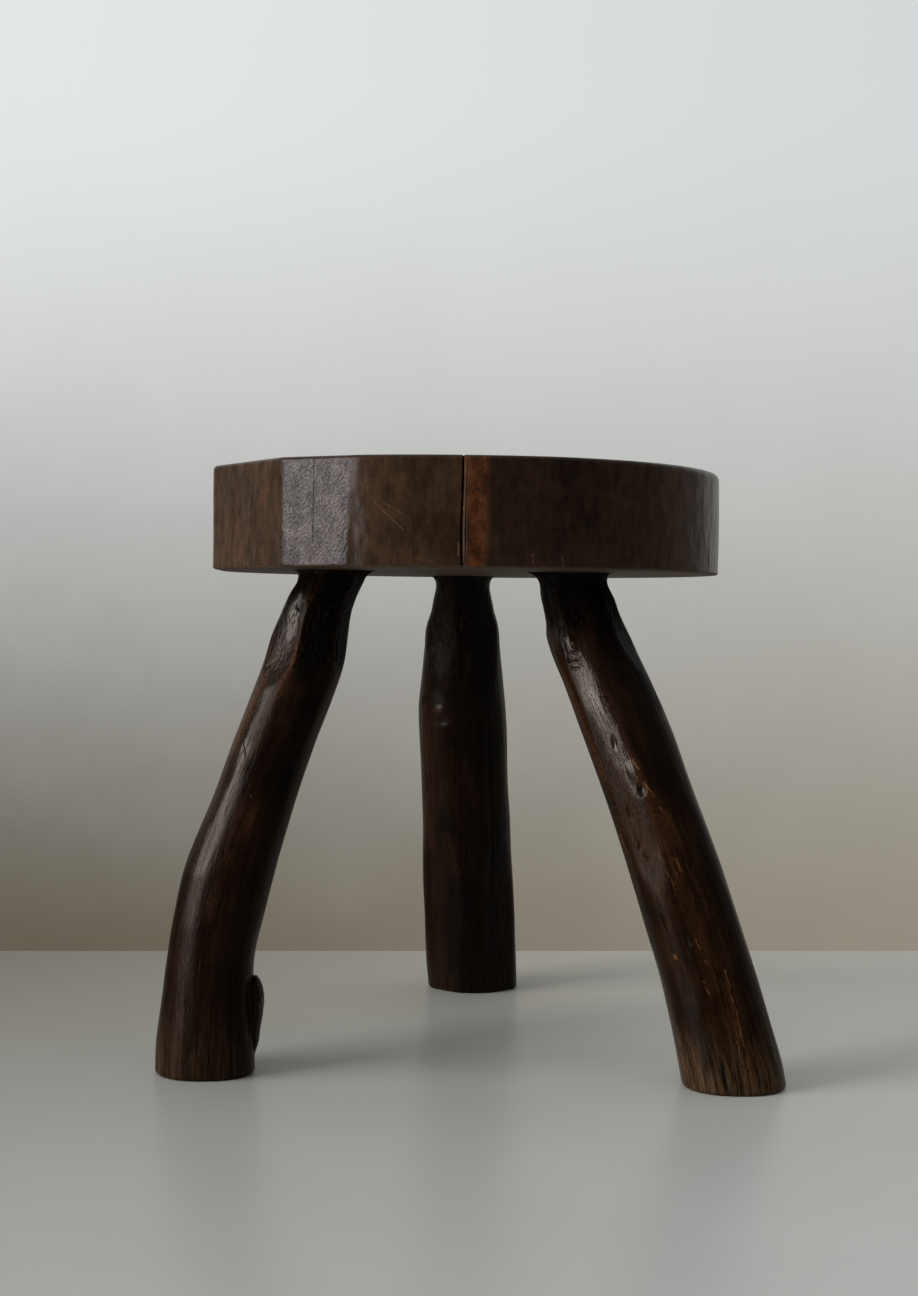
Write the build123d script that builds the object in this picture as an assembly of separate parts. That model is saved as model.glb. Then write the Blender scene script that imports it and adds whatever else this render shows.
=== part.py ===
from build123d import *

import os
from dataclasses import dataclass
from math import cos, radians, sin

# A low three-legged stool: a thick slab seat on three splayed branch legs. Each leg is whittled
# to a round tenon, which runs up through a slanted mortise in the seat and is spread by a wedge.
# Millimetres, +Z up. The origin is on the floor, under the middle of the whole stool.

# ---- Seat -------------------------------------------------------------------------------------
stool_height = 358.0  # floor to the top of the seat
seat_thickness = 62.5
seat_x = -4.5
seat_y = -28.7
seat_radius = 157.5  # of the rim where it is round
side_arris_proud = 3.5  # how far each arris of the hewn flats stands outside that radius
corner_arris_proud = 8.0
front_arris_proud = 4.0
front_proud = 0.5  # how far the flatter front stretch stands outside it
arris_wear = 8.0  # radius worn on the upright arrises
top_edge_wear = 2.5
bottom_edge_wear = 1.5

# Bearings round the middle of the seat, anticlockwise from +X.
round_end_bearing = 172.0  # the round of the back ends here
side_arris_bearing = 198.0
corner_arris_bearing = 230.5
front_arris_bearing = 246.0
front_middle_bearing = 267.0
front_end_bearing = 291.0  # the flatter front ends here
round_spans = 6  # of the curve from there round the back

# A drying check runs in from the rim at the front of the seat.
check_bearing = 269.8
check_length = 42.0
check_mouth = 1.2

# ---- Legs -------------------------------------------------------------------------------------
# Bearings and places are level ones: +X is the sitter's right, +Y is away from the front.
left_foot_x = -154.4
left_foot_y = -121.0
left_head_x = -85.0
left_head_y = -79.7
left_girth = 52.0
left_neck = 39.5
left_bow_x = -15.0
left_bow_y = -8.0

right_foot_x = 153.3
right_foot_y = -142.2
right_head_x = 60.5
right_head_y = -77.2
right_girth = 55.0
right_neck = 41.5
right_bow_x = 5.2
right_bow_y = -4.0

back_foot_x = 4.6
back_foot_y = 157.0
back_head_x = -5.8
back_head_y = 78.3
back_girth = 61.0
back_neck = 37.5
back_bow_x = -2.4
back_bow_y = 6.0

neck_length = 25.0  # the whittled top of each leg, below the seat
foot_wear = 2.0  # edge worn off all round the sole
facet_length = 48.0  # hewn flats that lead from each shank into its neck
facet_bite = 2.0  # how deep they cut into the neck at the seat

# ---- Stub on the front left leg ---------------------------------------------------------------
# The healed collar of a lost side branch: a lip that stands off the inner side of the foot.
stub_height = 56.0  # floor to its tip
stub_length = 46.0
stub_width = 9.0
stub_depth = 20.0
stub_standoff = 1.5  # how far its middle lies outside the shank's side

# ---- Joints -----------------------------------------------------------------------------------
shoulder = 3.5  # width of the step from neck to tenon, which bears on the seat's underside
mortise_clearance = 0.15  # all round the tenon
wedge_thickness = 7.0  # at the top of the seat
wedge_tip = 1.5
wedge_depth = 44.0  # down from the top of the seat
kerf_clearance = 0.1  # on each side of the wedge and under its tip

seat_underside = stool_height - seat_thickness
shank_height = seat_underside - neck_length


# ---- Shapes of the branches -------------------------------------------------------------------
@dataclass
class Ring:
    """A level, oval section of a shank, told in shares of the leg's own sizes."""

    height: float  # share of the shank's height, from the floor
    bow: float  # share of the leg's bow
    width: float  # share of its girth, along X
    depth: float  # share of its girth, along Y


@dataclass
class Leg:
    """One branch leg: where it stands, where it enters the seat and how it swells and bends."""

    name: str
    foot: tuple
    head: tuple
    bow: tuple
    girth: float
    neck: float
    neck_bow: float  # share of the bow that is left at the foot of the neck
    rings: list
    facets: list  # bearings of the hewn flats round its neck

    def centre(self, height, bow):
        """The leg's middle at a height, with a share of its bow added to the straight line."""
        share = height / seat_underside
        x = self.foot[0] + share * (self.head[0] - self.foot[0]) + bow * self.bow[0]
        y = self.foot[1] + share * (self.head[1] - self.foot[1]) + bow * self.bow[1]
        return Vector(x, y, height)

    def sections(self):
        """The level ovals of the whole branch, as (centre, width, depth) from the floor up."""
        ovals = []
        for ring in self.rings:
            centre = self.centre(ring.height * shank_height, ring.bow)
            ovals.append((centre, ring.width * self.girth, ring.depth * self.girth))
        for ring in neck_rings:
            height = shank_height + ring.height * neck_length
            centre = self.centre(height, ring.bow * self.neck_bow)
            ovals.append((centre, ring.width * self.neck, ring.depth * self.neck))
        return ovals

    def section_at(self, height):
        """The branch's middle and mean thickness at a height, between two of its ovals."""
        ovals = self.sections()
        pairs = zip(ovals, ovals[1:])
        low, high = next(pair for pair in pairs if height <= pair[1][0].Z)
        share = (height - low[0].Z) / (high[0].Z - low[0].Z)
        thickness = [(width + depth) / 2 for _, width, depth in (low, high)]
        middle = low[0] + (high[0] - low[0]) * share
        return middle, thickness[0] + share * (thickness[1] - thickness[0])

    @property
    def tenon_radius(self):
        """The neck less its shoulder."""
        return self.neck / 2 - shoulder

    @property
    def tenon_base(self):
        """Where the tenon's axis crosses the underside of the seat."""
        return Vector(self.head[0], self.head[1], seat_underside)

    @property
    def tenon_direction(self):
        """The tenon carries on the line of the neck."""
        return (self.tenon_base - self.centre(shank_height, self.neck_bow)).normalized()

    @property
    def tenon_top(self):
        """Where the tenon's axis crosses the top of the seat."""
        lean = self.tenon_direction
        return self.tenon_base + lean * (seat_thickness / lean.Z)


left_rings = [
    Ring(0.000, 0.00, 1.11, 1.08),
    Ring(0.060, 0.23, 1.11, 1.08),
    Ring(0.135, 0.50, 1.07, 1.05),
    Ring(0.240, 0.86, 0.99, 1.02),
    Ring(0.340, 0.97, 1.01, 1.00),
    Ring(0.445, 1.00, 1.03, 1.01),
    Ring(0.600, 0.73, 0.945, 0.98),
    Ring(0.710, 0.53, 0.935, 0.96),
    Ring(0.810, 0.30, 0.94, 0.95),
    Ring(0.890, 0.20, 0.93, 0.93),
    Ring(0.950, 0.19, 0.88, 0.88),
]
right_rings = [
    Ring(0.000, 0.00, 1.09, 1.07),
    Ring(0.060, 0.30, 1.08, 1.06),
    Ring(0.130, 0.62, 1.05, 1.04),
    Ring(0.235, 0.94, 1.02, 1.02),
    Ring(0.335, 1.00, 1.015, 1.00),
    Ring(0.435, 0.98, 1.005, 0.99),
    Ring(0.540, 0.88, 0.985, 0.98),
    Ring(0.640, 0.67, 0.985, 0.97),
    Ring(0.740, 0.46, 0.995, 0.97),
    Ring(0.830, 0.15, 0.96, 0.95),
    Ring(0.900, -0.40, 0.935, 0.92),
    Ring(0.955, -0.48, 0.90, 0.88),
]
back_rings = [
    Ring(0.000, 0.00, 1.04, 1.02),
    Ring(0.070, 0.25, 1.06, 1.03),
    Ring(0.205, 0.50, 1.06, 1.02),
    Ring(0.335, 0.70, 1.04, 1.00),
    Ring(0.470, 0.85, 1.015, 0.98),
    Ring(0.595, 0.95, 1.00, 0.97),
    Ring(0.710, 1.00, 1.00, 0.97),
    Ring(0.805, 0.92, 0.95, 0.93),
    Ring(0.885, 0.80, 0.875, 0.88),
    Ring(0.950, 0.60, 0.79, 0.80),
]

# Every neck has the same shape. Here a height is a share of the neck's length, a bow is a share
# of the neck's own bow, and a width or a depth is a share of its thickness. The last ring flares
# out against the seat.
neck_rings = [
    Ring(0.00, 1.00, 1.10, 1.10),
    Ring(0.40, 0.50, 1.05, 1.05),
    Ring(0.80, 0.00, 1.00, 1.00),
    Ring(1.00, 0.00, 1.08, 1.08),
]

legs = [
    Leg(
        name="front_left",
        foot=(left_foot_x, left_foot_y),
        head=(left_head_x, left_head_y),
        bow=(left_bow_x, left_bow_y),
        girth=left_girth,
        neck=left_neck,
        neck_bow=0.17,
        rings=left_rings,
        facets=[205.0, 268.0, 330.0, 95.0],
    ),
    Leg(
        name="front_right",
        foot=(right_foot_x, right_foot_y),
        head=(right_head_x, right_head_y),
        bow=(right_bow_x, right_bow_y),
        girth=right_girth,
        neck=right_neck,
        neck_bow=-0.40,
        rings=right_rings,
        facets=[190.0, 250.0, 15.0, 95.0],
    ),
    Leg(
        name="back",
        foot=(back_foot_x, back_foot_y),
        head=(back_head_x, back_head_y),
        bow=(back_bow_x, back_bow_y),
        girth=back_girth,
        neck=back_neck,
        neck_bow=0.35,
        rings=back_rings,
        facets=[235.0, 310.0, 60.0],
    ),
]


def oval(centre, width, depth):
    """A level oval face about a point."""
    return Plane(centre) * Ellipse(width / 2, depth / 2)


def loft_ovals(ovals, ruled=False):
    """A solid through level ovals, given as (centre, width, depth) from the bottom up."""
    return loft([oval(*each) for each in ovals], ruled=ruled)


# ---- Seat -------------------------------------------------------------------------------------
def rim_point(bearing, proud):
    """A point of the rim, a distance outside the seat's round radius."""
    reach = seat_radius + proud
    return (
        seat_x + reach * cos(radians(bearing)),
        seat_y + reach * sin(radians(bearing)),
    )


def seat_outline():
    """Three hewn flats at the front left, and one smooth curve round the rest of the rim."""
    round_end = rim_point(round_end_bearing, 0)
    side_arris = rim_point(side_arris_bearing, side_arris_proud)
    corner_arris = rim_point(corner_arris_bearing, corner_arris_proud)
    front_arris = rim_point(front_arris_bearing, front_arris_proud)
    front_middle = rim_point(front_middle_bearing, front_proud)
    front_end = rim_point(front_end_bearing, front_proud)
    turn = (360 + round_end_bearing - front_end_bearing) / round_spans
    round_back = [
        rim_point(front_end_bearing + turn * step, 0) for step in range(1, round_spans)
    ]
    rim = Curve() + [
        Line(round_end, side_arris),
        Line(side_arris, corner_arris),
        Line(corner_arris, front_arris),
        Spline(front_arris, front_middle, front_end, *round_back, round_end),
    ]
    face = make_face(rim)
    arrises = [
        face.vertices().sort_by_distance(Vector(*point))[0]
        for point in (round_end, side_arris, corner_arris, front_arris)
    ]
    return fillet(arrises, arris_wear)


def mortise(leg):
    """The slanted round hole that takes a leg's tenon, run past both faces of the seat."""
    hole = Cylinder(leg.tenon_radius + mortise_clearance, 3 * seat_thickness)
    return Plane(leg.tenon_base, z_dir=leg.tenon_direction) * hole


def drying_check():
    """A thin upright wedge of air, open at the rim and closing towards the heart."""
    mouth = seat_radius + corner_arris_proud
    closed = seat_radius - check_length
    outline = Polyline(
        (closed, 0),
        (mouth, -check_mouth / 2),
        (mouth, check_mouth / 2),
        (closed, 0),
    )
    blade = extrude(make_face(outline), 2 * seat_thickness)
    place = Pos(seat_x, seat_y, seat_underside - seat_thickness / 2)
    return place * Rot(0, 0, check_bearing) * blade


def make_seat():
    """The slab, with worn edges, its three mortises and its check."""
    slab = Pos(0, 0, seat_underside) * extrude(seat_outline(), seat_thickness)
    top_edges = slab.faces().sort_by(Axis.Z)[-1].edges()
    slab = fillet(top_edges, top_edge_wear)
    bottom_edges = slab.faces().sort_by(Axis.Z)[0].edges()
    slab = fillet(bottom_edges, bottom_edge_wear)
    for leg in legs:
        slab -= mortise(leg)
    return slab - drying_check()


# ---- Legs -------------------------------------------------------------------------------------
def branch(leg):
    """The leg from its worn sole to its shoulder under the seat."""
    sections = leg.sections()
    sole_centre, sole_width, sole_depth = sections[0]
    lifted = sole_centre + Vector(0, 0, foot_wear)
    sections[0] = (lifted, sole_width, sole_depth)
    sole = (sole_centre, sole_width - 2 * foot_wear, sole_depth - 2 * foot_wear)
    return loft_ovals(sections) + loft_ovals([sole, sections[0]], ruled=True)


def facet_cut(leg, bearing):
    """A block whose flat base shaves one side of the leg, from the shank up into the neck."""
    outward = Vector(cos(radians(bearing)), sin(radians(bearing)), 0)
    across = Vector(-outward.Y, outward.X, 0)
    middle, thickness = leg.section_at(seat_underside - facet_length)
    low = middle + outward * (thickness / 2)
    high = leg.tenon_base + outward * (leg.neck / 2 - facet_bite)
    along = high - low
    base = Plane(low, x_dir=along, z_dir=across.cross(along))
    reach = along.length + leg.neck
    block = Box(reach, leg.girth, leg.girth, align=(Align.MIN, Align.CENTER, Align.MIN))
    return base * block


def tenon(leg):
    """A round peg on the line of the neck, cut off level with the top of the seat."""
    root = leg.neck / 2
    length = seat_thickness / leg.tenon_direction.Z + 2 * root
    peg = Cylinder(
        leg.tenon_radius, length, align=(Align.CENTER, Align.CENTER, Align.MIN)
    )
    base = leg.tenon_base - leg.tenon_direction * root
    peg = Plane(base, z_dir=leg.tenon_direction) * peg
    return peg & below(stool_height)


def below(height):
    """Everything under a level plane, as a block far wider than the stool."""
    span = 4 * stool_height
    return Pos(0, 0, height) * Box(
        span, span, span, align=(Align.CENTER, Align.CENTER, Align.MAX)
    )


def wedge_shape(leg, clearance, width):
    """The taper that spreads a tenon. It lies across the line from the seat's middle."""
    top = leg.tenon_top
    radial = Vector(top.X - seat_x, top.Y - seat_y, 0).normalized()
    across = Vector(-radial.Y, radial.X, 0)
    place = Plane(top, x_dir=across, z_dir=leg.tenon_direction)
    above = leg.neck  # enough to run out past the slanted end of the tenon
    slope = (wedge_thickness - wedge_tip) / 2 / wedge_depth
    high = wedge_thickness / 2 + slope * above + clearance
    low = wedge_tip / 2 + clearance
    floor = -wedge_depth - clearance
    outline = Polyline(
        (-high, above), (high, above), (low, floor), (-low, floor), (-high, above)
    )
    upright = Plane(origin=(0, 0, 0), x_dir=(0, 1, 0), z_dir=(1, 0, 0))
    blade = extrude(upright * make_face(outline), width / 2, both=True)
    return place * blade


# The stub's ovals, from its foot up: height as a share of its length, how far it lies inside its
# own line as a share of its width, and its size as a share of the full oval.
stub_rings = [
    (0.00, 0.33, 0.30),
    (0.30, 0.11, 0.75),
    (0.65, 0.00, 1.00),
    (0.90, 0.02, 0.85),
    (1.00, 0.07, 0.45),
]


def stub(leg):
    """A lip of healed wood, blunt at its tip and fading down into the foot of a leg."""
    foot_ring = leg.rings[2]
    side = foot_ring.width * leg.girth / 2 + stub_standoff
    ovals = []
    for share, inset, size in stub_rings:
        height = stub_height - stub_length * (1 - share)
        middle = leg.centre(height, foot_ring.bow) + Vector(side - inset * stub_width, 0, 0)
        ovals.append((middle, size * stub_width, size * stub_depth))
    return loft_ovals(ovals)


def make_leg(leg):
    """Branch, hewn flats and tenon in one piece, with the kerf sawn for its wedge."""
    body = branch(leg)
    for bearing in leg.facets:
        body -= facet_cut(leg, bearing)
    body &= below(seat_underside)
    if leg is legs[0]:
        body += stub(leg)
    body += tenon(leg)
    return body - wedge_shape(leg, kerf_clearance, 2 * leg.neck)


def make_wedge(leg):
    """The wedge as driven: trimmed to the tenon's round and level with the seat."""
    peg = tenon(leg)
    return wedge_shape(leg, 0, 2 * leg.neck) & peg


# ---- Output -----------------------------------------------------------------------------------
parts = {"seat_slab": make_seat()}
for each_leg in legs:
    parts["leg_" + each_leg.name] = make_leg(each_leg)
    parts["wedge_" + each_leg.name] = make_wedge(each_leg)

os.makedirs("parts", exist_ok=True)
for node, shape in parts.items():
    shape.label = node
    export_step(shape, os.path.join("parts", node + ".step"))
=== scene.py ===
"""A low three-legged stool: a thick slab seat on three splayed branch legs, tenoned and wedged.

Every surface is worked out with numpy, in millimetres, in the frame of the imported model: +X is the
sitter's right, +Y points from the front to the back leg, and Z is up from the floor. A bearing is a
level angle in degrees, anticlockwise from +X, so 270 faces the front. Meshes are written in metres.
"""

import itertools
import logging
from dataclasses import astuple, dataclass, field
from enum import Enum
from functools import partialmethod
from typing import Any, Callable, Sequence, Union

import bpy
import numpy as np
from mathutils import Matrix, Vector

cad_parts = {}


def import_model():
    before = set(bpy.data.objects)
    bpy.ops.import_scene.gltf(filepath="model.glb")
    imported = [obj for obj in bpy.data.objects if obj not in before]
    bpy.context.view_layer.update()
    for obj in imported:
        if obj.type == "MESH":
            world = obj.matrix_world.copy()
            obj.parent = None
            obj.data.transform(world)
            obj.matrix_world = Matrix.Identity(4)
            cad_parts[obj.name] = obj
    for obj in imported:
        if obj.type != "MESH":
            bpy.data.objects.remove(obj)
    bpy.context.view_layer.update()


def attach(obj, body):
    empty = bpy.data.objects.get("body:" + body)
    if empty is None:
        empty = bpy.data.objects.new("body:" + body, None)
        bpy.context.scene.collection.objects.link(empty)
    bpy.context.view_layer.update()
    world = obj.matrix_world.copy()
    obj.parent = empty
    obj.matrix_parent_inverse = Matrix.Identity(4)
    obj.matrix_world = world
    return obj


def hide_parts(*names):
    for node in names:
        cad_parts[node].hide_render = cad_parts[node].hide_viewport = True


Array = np.ndarray
Colour = tuple[float, float, float]

MM = 0.001
FRONT = 270.0  # bearing of the side that faces the front
BACK_SEAM = 90.0  # bearing at which every grid starts and ends
SMOOTH_ANGLE = 40.0  # edges sharper than this, in degrees, are shaded as edges
DENSITY_STEPS = 6000  # how finely spread adds up its density
ORIGIN = (0.0, 0.0)

log = logging.getLogger("stool")


# ---- Curves, noise and rings --------------------------------------------------------------------
class Noise:
    """Seeded gradient noise in three dimensions, for whole arrays of points."""

    CELLS = 256
    GAIN = 1.6  # brings the usual range to about -1 to 1
    LAYER_SHIFT = 17.3  # keeps one layer's pattern off the next one's

    def __init__(self, seed: int) -> None:
        """Draws one slope for each lattice corner.

        Args:
            seed: the number that fixes the pattern.
        """
        draw = np.random.default_rng(seed)
        self._order = draw.permutation(self.CELLS)
        slopes = draw.normal(size=(self.CELLS, 3))
        self._slopes = slopes / np.linalg.norm(slopes, axis=1, keepdims=True)

    def at(self, points: Array) -> Array:
        """Noise at each point: the slopes of the eight corners round it, blended by an S curve.

        Args:
            points: an array whose last axis is X, Y, Z, in cells of the lattice.

        Returns:
            One value a point, mostly between -1 and 1.
        """
        cell = np.floor(points).astype(int)
        offset = points - cell
        blend = offset**3 * (offset * (offset * 6 - 15) + 10)
        total = np.zeros(points.shape[:-1])
        for corner in itertools.product((0, 1), repeat=3):
            picked = 0
            for axis in range(3):
                picked = self._order[(picked + cell[..., axis] + corner[axis]) % self.CELLS]
            weight = np.prod(np.where(np.array(corner) == 1, blend, 1 - blend), axis=-1)
            total += weight * np.sum(self._slopes[picked] * (offset - corner), axis=-1)
        return total * self.GAIN

    def layered(self, points: Array, layers: int = 3) -> Array:
        """Several layers of noise, each half as large and twice as fine as the last.

        Args:
            points: as for at.
            layers: how many are added.

        Returns:
            One value a point.
        """
        total = np.zeros(points.shape[:-1])
        for layer in range(layers):
            total += self.at(points * 2.0**layer + self.LAYER_SHIFT * layer) * 0.5**layer
        return total


class Track:
    """A smooth curve through stations: a cubic between each two, with slopes from neighbours."""

    def __init__(self, places: Sequence[float], values: Sequence[float]) -> None:
        """Keeps the stations and works out the slope at each.

        Args:
            places: where the stations are, rising.
            values: what the curve is there.
        """
        self._places = np.array(places, float)
        self._values = np.array(values, float)
        self._slopes = np.gradient(self._values, self._places)

    def __call__(self, place: Array) -> Array:
        """The curve at each place, held level past its ends.

        Args:
            place: any number of places.

        Returns:
            As many values.
        """
        place = np.clip(place, self._places[0], self._places[-1])
        last = len(self._places) - 2
        low = np.clip(np.searchsorted(self._places, place, side="right") - 1, 0, last)
        run = self._places[low + 1] - self._places[low]
        share = (place - self._places[low]) / run
        start, end = self._values[low], self._values[low + 1]
        rise = share * share * (3 - 2 * share)
        leaving = share * (1 - share) ** 2 * run * self._slopes[low]
        arriving = share * share * (share - 1) * run * self._slopes[low + 1]
        return start + (end - start) * rise + leaving + arriving


def ease(value: Array, low: float, high: float) -> Array:
    """An S curve from 0 at low to 1 at high; low may be the greater."""
    share = np.clip((value - low) / (high - low), 0, 1)
    return share * share * (3 - 2 * share)


def turned_from(bearing: Array, middle: float) -> Array:
    """How far a bearing is from another, in degrees from -180 to 180."""
    return (bearing - middle + 180) % 360 - 180


def heading(bearing: Array) -> tuple[Array, Array]:
    """The level unit direction of a bearing, as its X and Y."""
    return np.cos(np.radians(bearing)), np.sin(np.radians(bearing))


def ring_at(middle: Sequence[Array], bearings: Array, reach: Array, height: Array) -> Array:
    """Points round a middle: it plus the reach along each bearing's direction, at a height.

    Args:
        middle: its X and Y.
        bearings: the direction of each point.
        reach: how far each point lies from the middle.
        height: the height of all points, or of each.

    Returns:
        Points of the shape that the arguments have together.
    """
    across_x, across_y = heading(bearings)
    parts = (middle[0] + across_x * reach, middle[1] + across_y * reach, height)
    return np.stack(np.broadcast_arrays(*parts), axis=-1).astype(float)


def spread(count: int, start: float, stop: float, density: Callable[[Array], Array]) -> Array:
    """Places between two ends that crowd where density is high: its running sum, inverted.

    Args:
        count: how many places.
        start: the first place.
        stop: the last place.
        density: how closely places lie, as a function of the place.

    Returns:
        The rising places.
    """
    fine = np.linspace(start, stop, DENSITY_STEPS)
    weight = density(fine)
    total = np.concatenate([[0], np.cumsum((weight[1:] + weight[:-1]) / 2)])
    return np.interp(np.linspace(0, total[-1], count), total, fine)


def all_round(count: int, density: Callable[[Array], Array]) -> Array:
    """Bearings for a grid's columns, once round from the seam at the back."""
    return spread(count + 1, BACK_SEAM, BACK_SEAM + 360, density)[:-1]


# ---- Meshes -------------------------------------------------------------------------------------
class Shell:
    """A closed surface on a grid: rings of points from its low pole to its high pole."""

    def __init__(self, rings: Array, low_pole: Sequence[float], high_pole: Sequence[float]) -> None:
        """Keeps the grid.

        Args:
            rings: points as rows, columns, XYZ, in millimetres. Columns run anticlockwise seen
                from the high pole, so that faces point outwards.
            low_pole: the point that closes the first ring.
            high_pole: the point that closes the last one.
        """
        self.rings = rings
        self.poles = np.array([low_pole, high_pole], float)

    def mesh(self, name: str) -> bpy.types.Mesh:
        """A mesh of four-sided faces between rings and three-sided ones round each pole.

        Args:
            name: the mesh's name.

        Returns:
            The mesh, in metres.
        """
        levels, columns, _ = self.rings.shape
        points = np.concatenate([self.rings.reshape(-1, 3), self.poles]) * MM
        here = np.arange(levels * columns).reshape(levels, columns)
        beside = np.roll(here, -1, axis=1)
        sides = (here[:-1], beside[:-1], beside[1:], here[1:])
        faces = np.stack(sides, axis=-1).reshape(-1, 4).tolist()
        pole = np.full(columns, levels * columns)
        faces += np.stack([pole, beside[0], here[0]], axis=-1).tolist()
        faces += np.stack([pole + 1, here[-1], beside[-1]], axis=-1).tolist()
        made = bpy.data.meshes.new(name)
        made.from_pydata(points.tolist(), [], faces)
        made.update()
        return made


class Piece:
    """One Blender object, with the ways of cutting, joining and marking it."""

    def __init__(self, name: str, shell: Shell) -> None:
        """Makes the object at the origin, with its place in its mesh.

        Args:
            name: the object's name.
            shell: its surface.
        """
        self.thing = bpy.data.objects.new(name, shell.mesh(name))
        bpy.context.scene.collection.objects.link(self.thing)

    def cut(self, other: "Piece", operation: str = "DIFFERENCE") -> None:
        """Cuts another piece out of this one, or joins it on, and removes the other.

        Args:
            other: a closed piece.
            operation: DIFFERENCE to cut, UNION to join.
        """
        change = self.thing.modifiers.new("cut", "BOOLEAN")
        change.operation = operation
        change.solver = "MANIFOLD"
        change.object = other.thing
        view = bpy.context.evaluated_depsgraph_get()
        changed = bpy.data.meshes.new_from_object(self.thing.evaluated_get(view))
        before = len(self.thing.data.polygons)
        self.thing.modifiers.clear()
        self.thing.data = changed
        bpy.data.objects.remove(other.thing)
        log.info("%s: %s, %d faces to %d", self.thing.name, operation, before, len(changed.polygons))

    def points(self) -> Array:
        """The mesh's points.

        Returns:
            One row of X, Y and Z for each, in millimetres.
        """
        mesh = self.thing.data
        flat = np.empty(len(mesh.vertices) * 3, np.float32)
        mesh.vertices.foreach_get("co", flat)
        return flat.reshape(-1, 3).astype(float) / MM

    def mark(self, name: str, values: Array) -> None:
        """Gives each point a number, or three, that the finish can read.

        Args:
            name: the attribute's name.
            values: one number, or a row of three, for each point.
        """
        kind, key = ("FLOAT_VECTOR", "vector") if values.ndim == 2 else ("FLOAT", "value")
        made = self.thing.data.attributes.new(name, kind, "POINT")
        made.data.foreach_set(key, values.astype(np.float32).ravel())

    def dress(self, material: bpy.types.Material, node: str) -> None:
        """Shades, paints and mounts the piece in place of its node.

        Args:
            material: its finish.
            node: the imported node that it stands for.
        """
        mesh = self.thing.data
        mesh.shade_smooth()
        mesh.set_sharp_from_angle(angle=np.radians(SMOOTH_ANGLE))
        mesh.materials.clear()
        mesh.materials.append(material)
        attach(self.thing, "root")
        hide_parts(node)
        log.info("%s stands for %s, %d faces", self.thing.name, node, len(mesh.polygons))


# ---- Shader maths -------------------------------------------------------------------------------
Number = Union["Value", float]


class Value:
    """A number or a vector on its way through a finish. Sums written with it add Math nodes."""

    def __init__(self, painter: "Painter", socket: bpy.types.NodeSocket) -> None:
        """Keeps the socket and the painter that owns its tree."""
        self.painter = painter
        self.socket = socket

    def _math(self, operation: str, *others: Number) -> "Value":
        """One Math node on this value and any others."""
        sockets = dict(enumerate((self, *others)))
        return self.painter.node("ShaderNodeMath", {"operation": operation}, sockets)

    def _reflected(self, operation: str, other: Number) -> "Value":
        """One Math node with the other term first."""
        return self.painter.node("ShaderNodeMath", {"operation": operation}, {0: other, 1: self})

    __add__ = partialmethod(_math, "ADD")
    __radd__ = partialmethod(_reflected, "ADD")
    __sub__ = partialmethod(_math, "SUBTRACT")
    __rsub__ = partialmethod(_reflected, "SUBTRACT")
    __mul__ = partialmethod(_math, "MULTIPLY")
    __rmul__ = partialmethod(_reflected, "MULTIPLY")
    __neg__ = partialmethod(_math, "MULTIPLY", -1.0)
    most = partialmethod(_math, "MAXIMUM")  # the greater of two values
    sine = partialmethod(_math, "SINE")  # of a value in radians
    angle_from = partialmethod(_math, "ARCTAN2")  # from the axis along which the other is measured

    def eased(self, low: float, high: float, curve: str = "SMOOTHSTEP") -> "Value":
        """A curve from 0 at low to 1 at high, by default an S; low may be the greater."""
        sockets = {"Value": self, "From Min": low, "From Max": high}
        return self.painter.node("ShaderNodeMapRange", {"interpolation_type": curve}, sockets)

    def beside(self, output: int | str) -> "Value":
        """Another output of the node that this value comes from."""
        return Value(self.painter, self.socket.node.outputs[output])


@dataclass(frozen=True)
class Stroke:
    """A line on a surface, from one place to another.

    A place is its distance round the piece from the front, and its height, both in millimetres.
    """

    start: tuple[float, float]
    end: tuple[float, float]
    width: float
    strength: float


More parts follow.
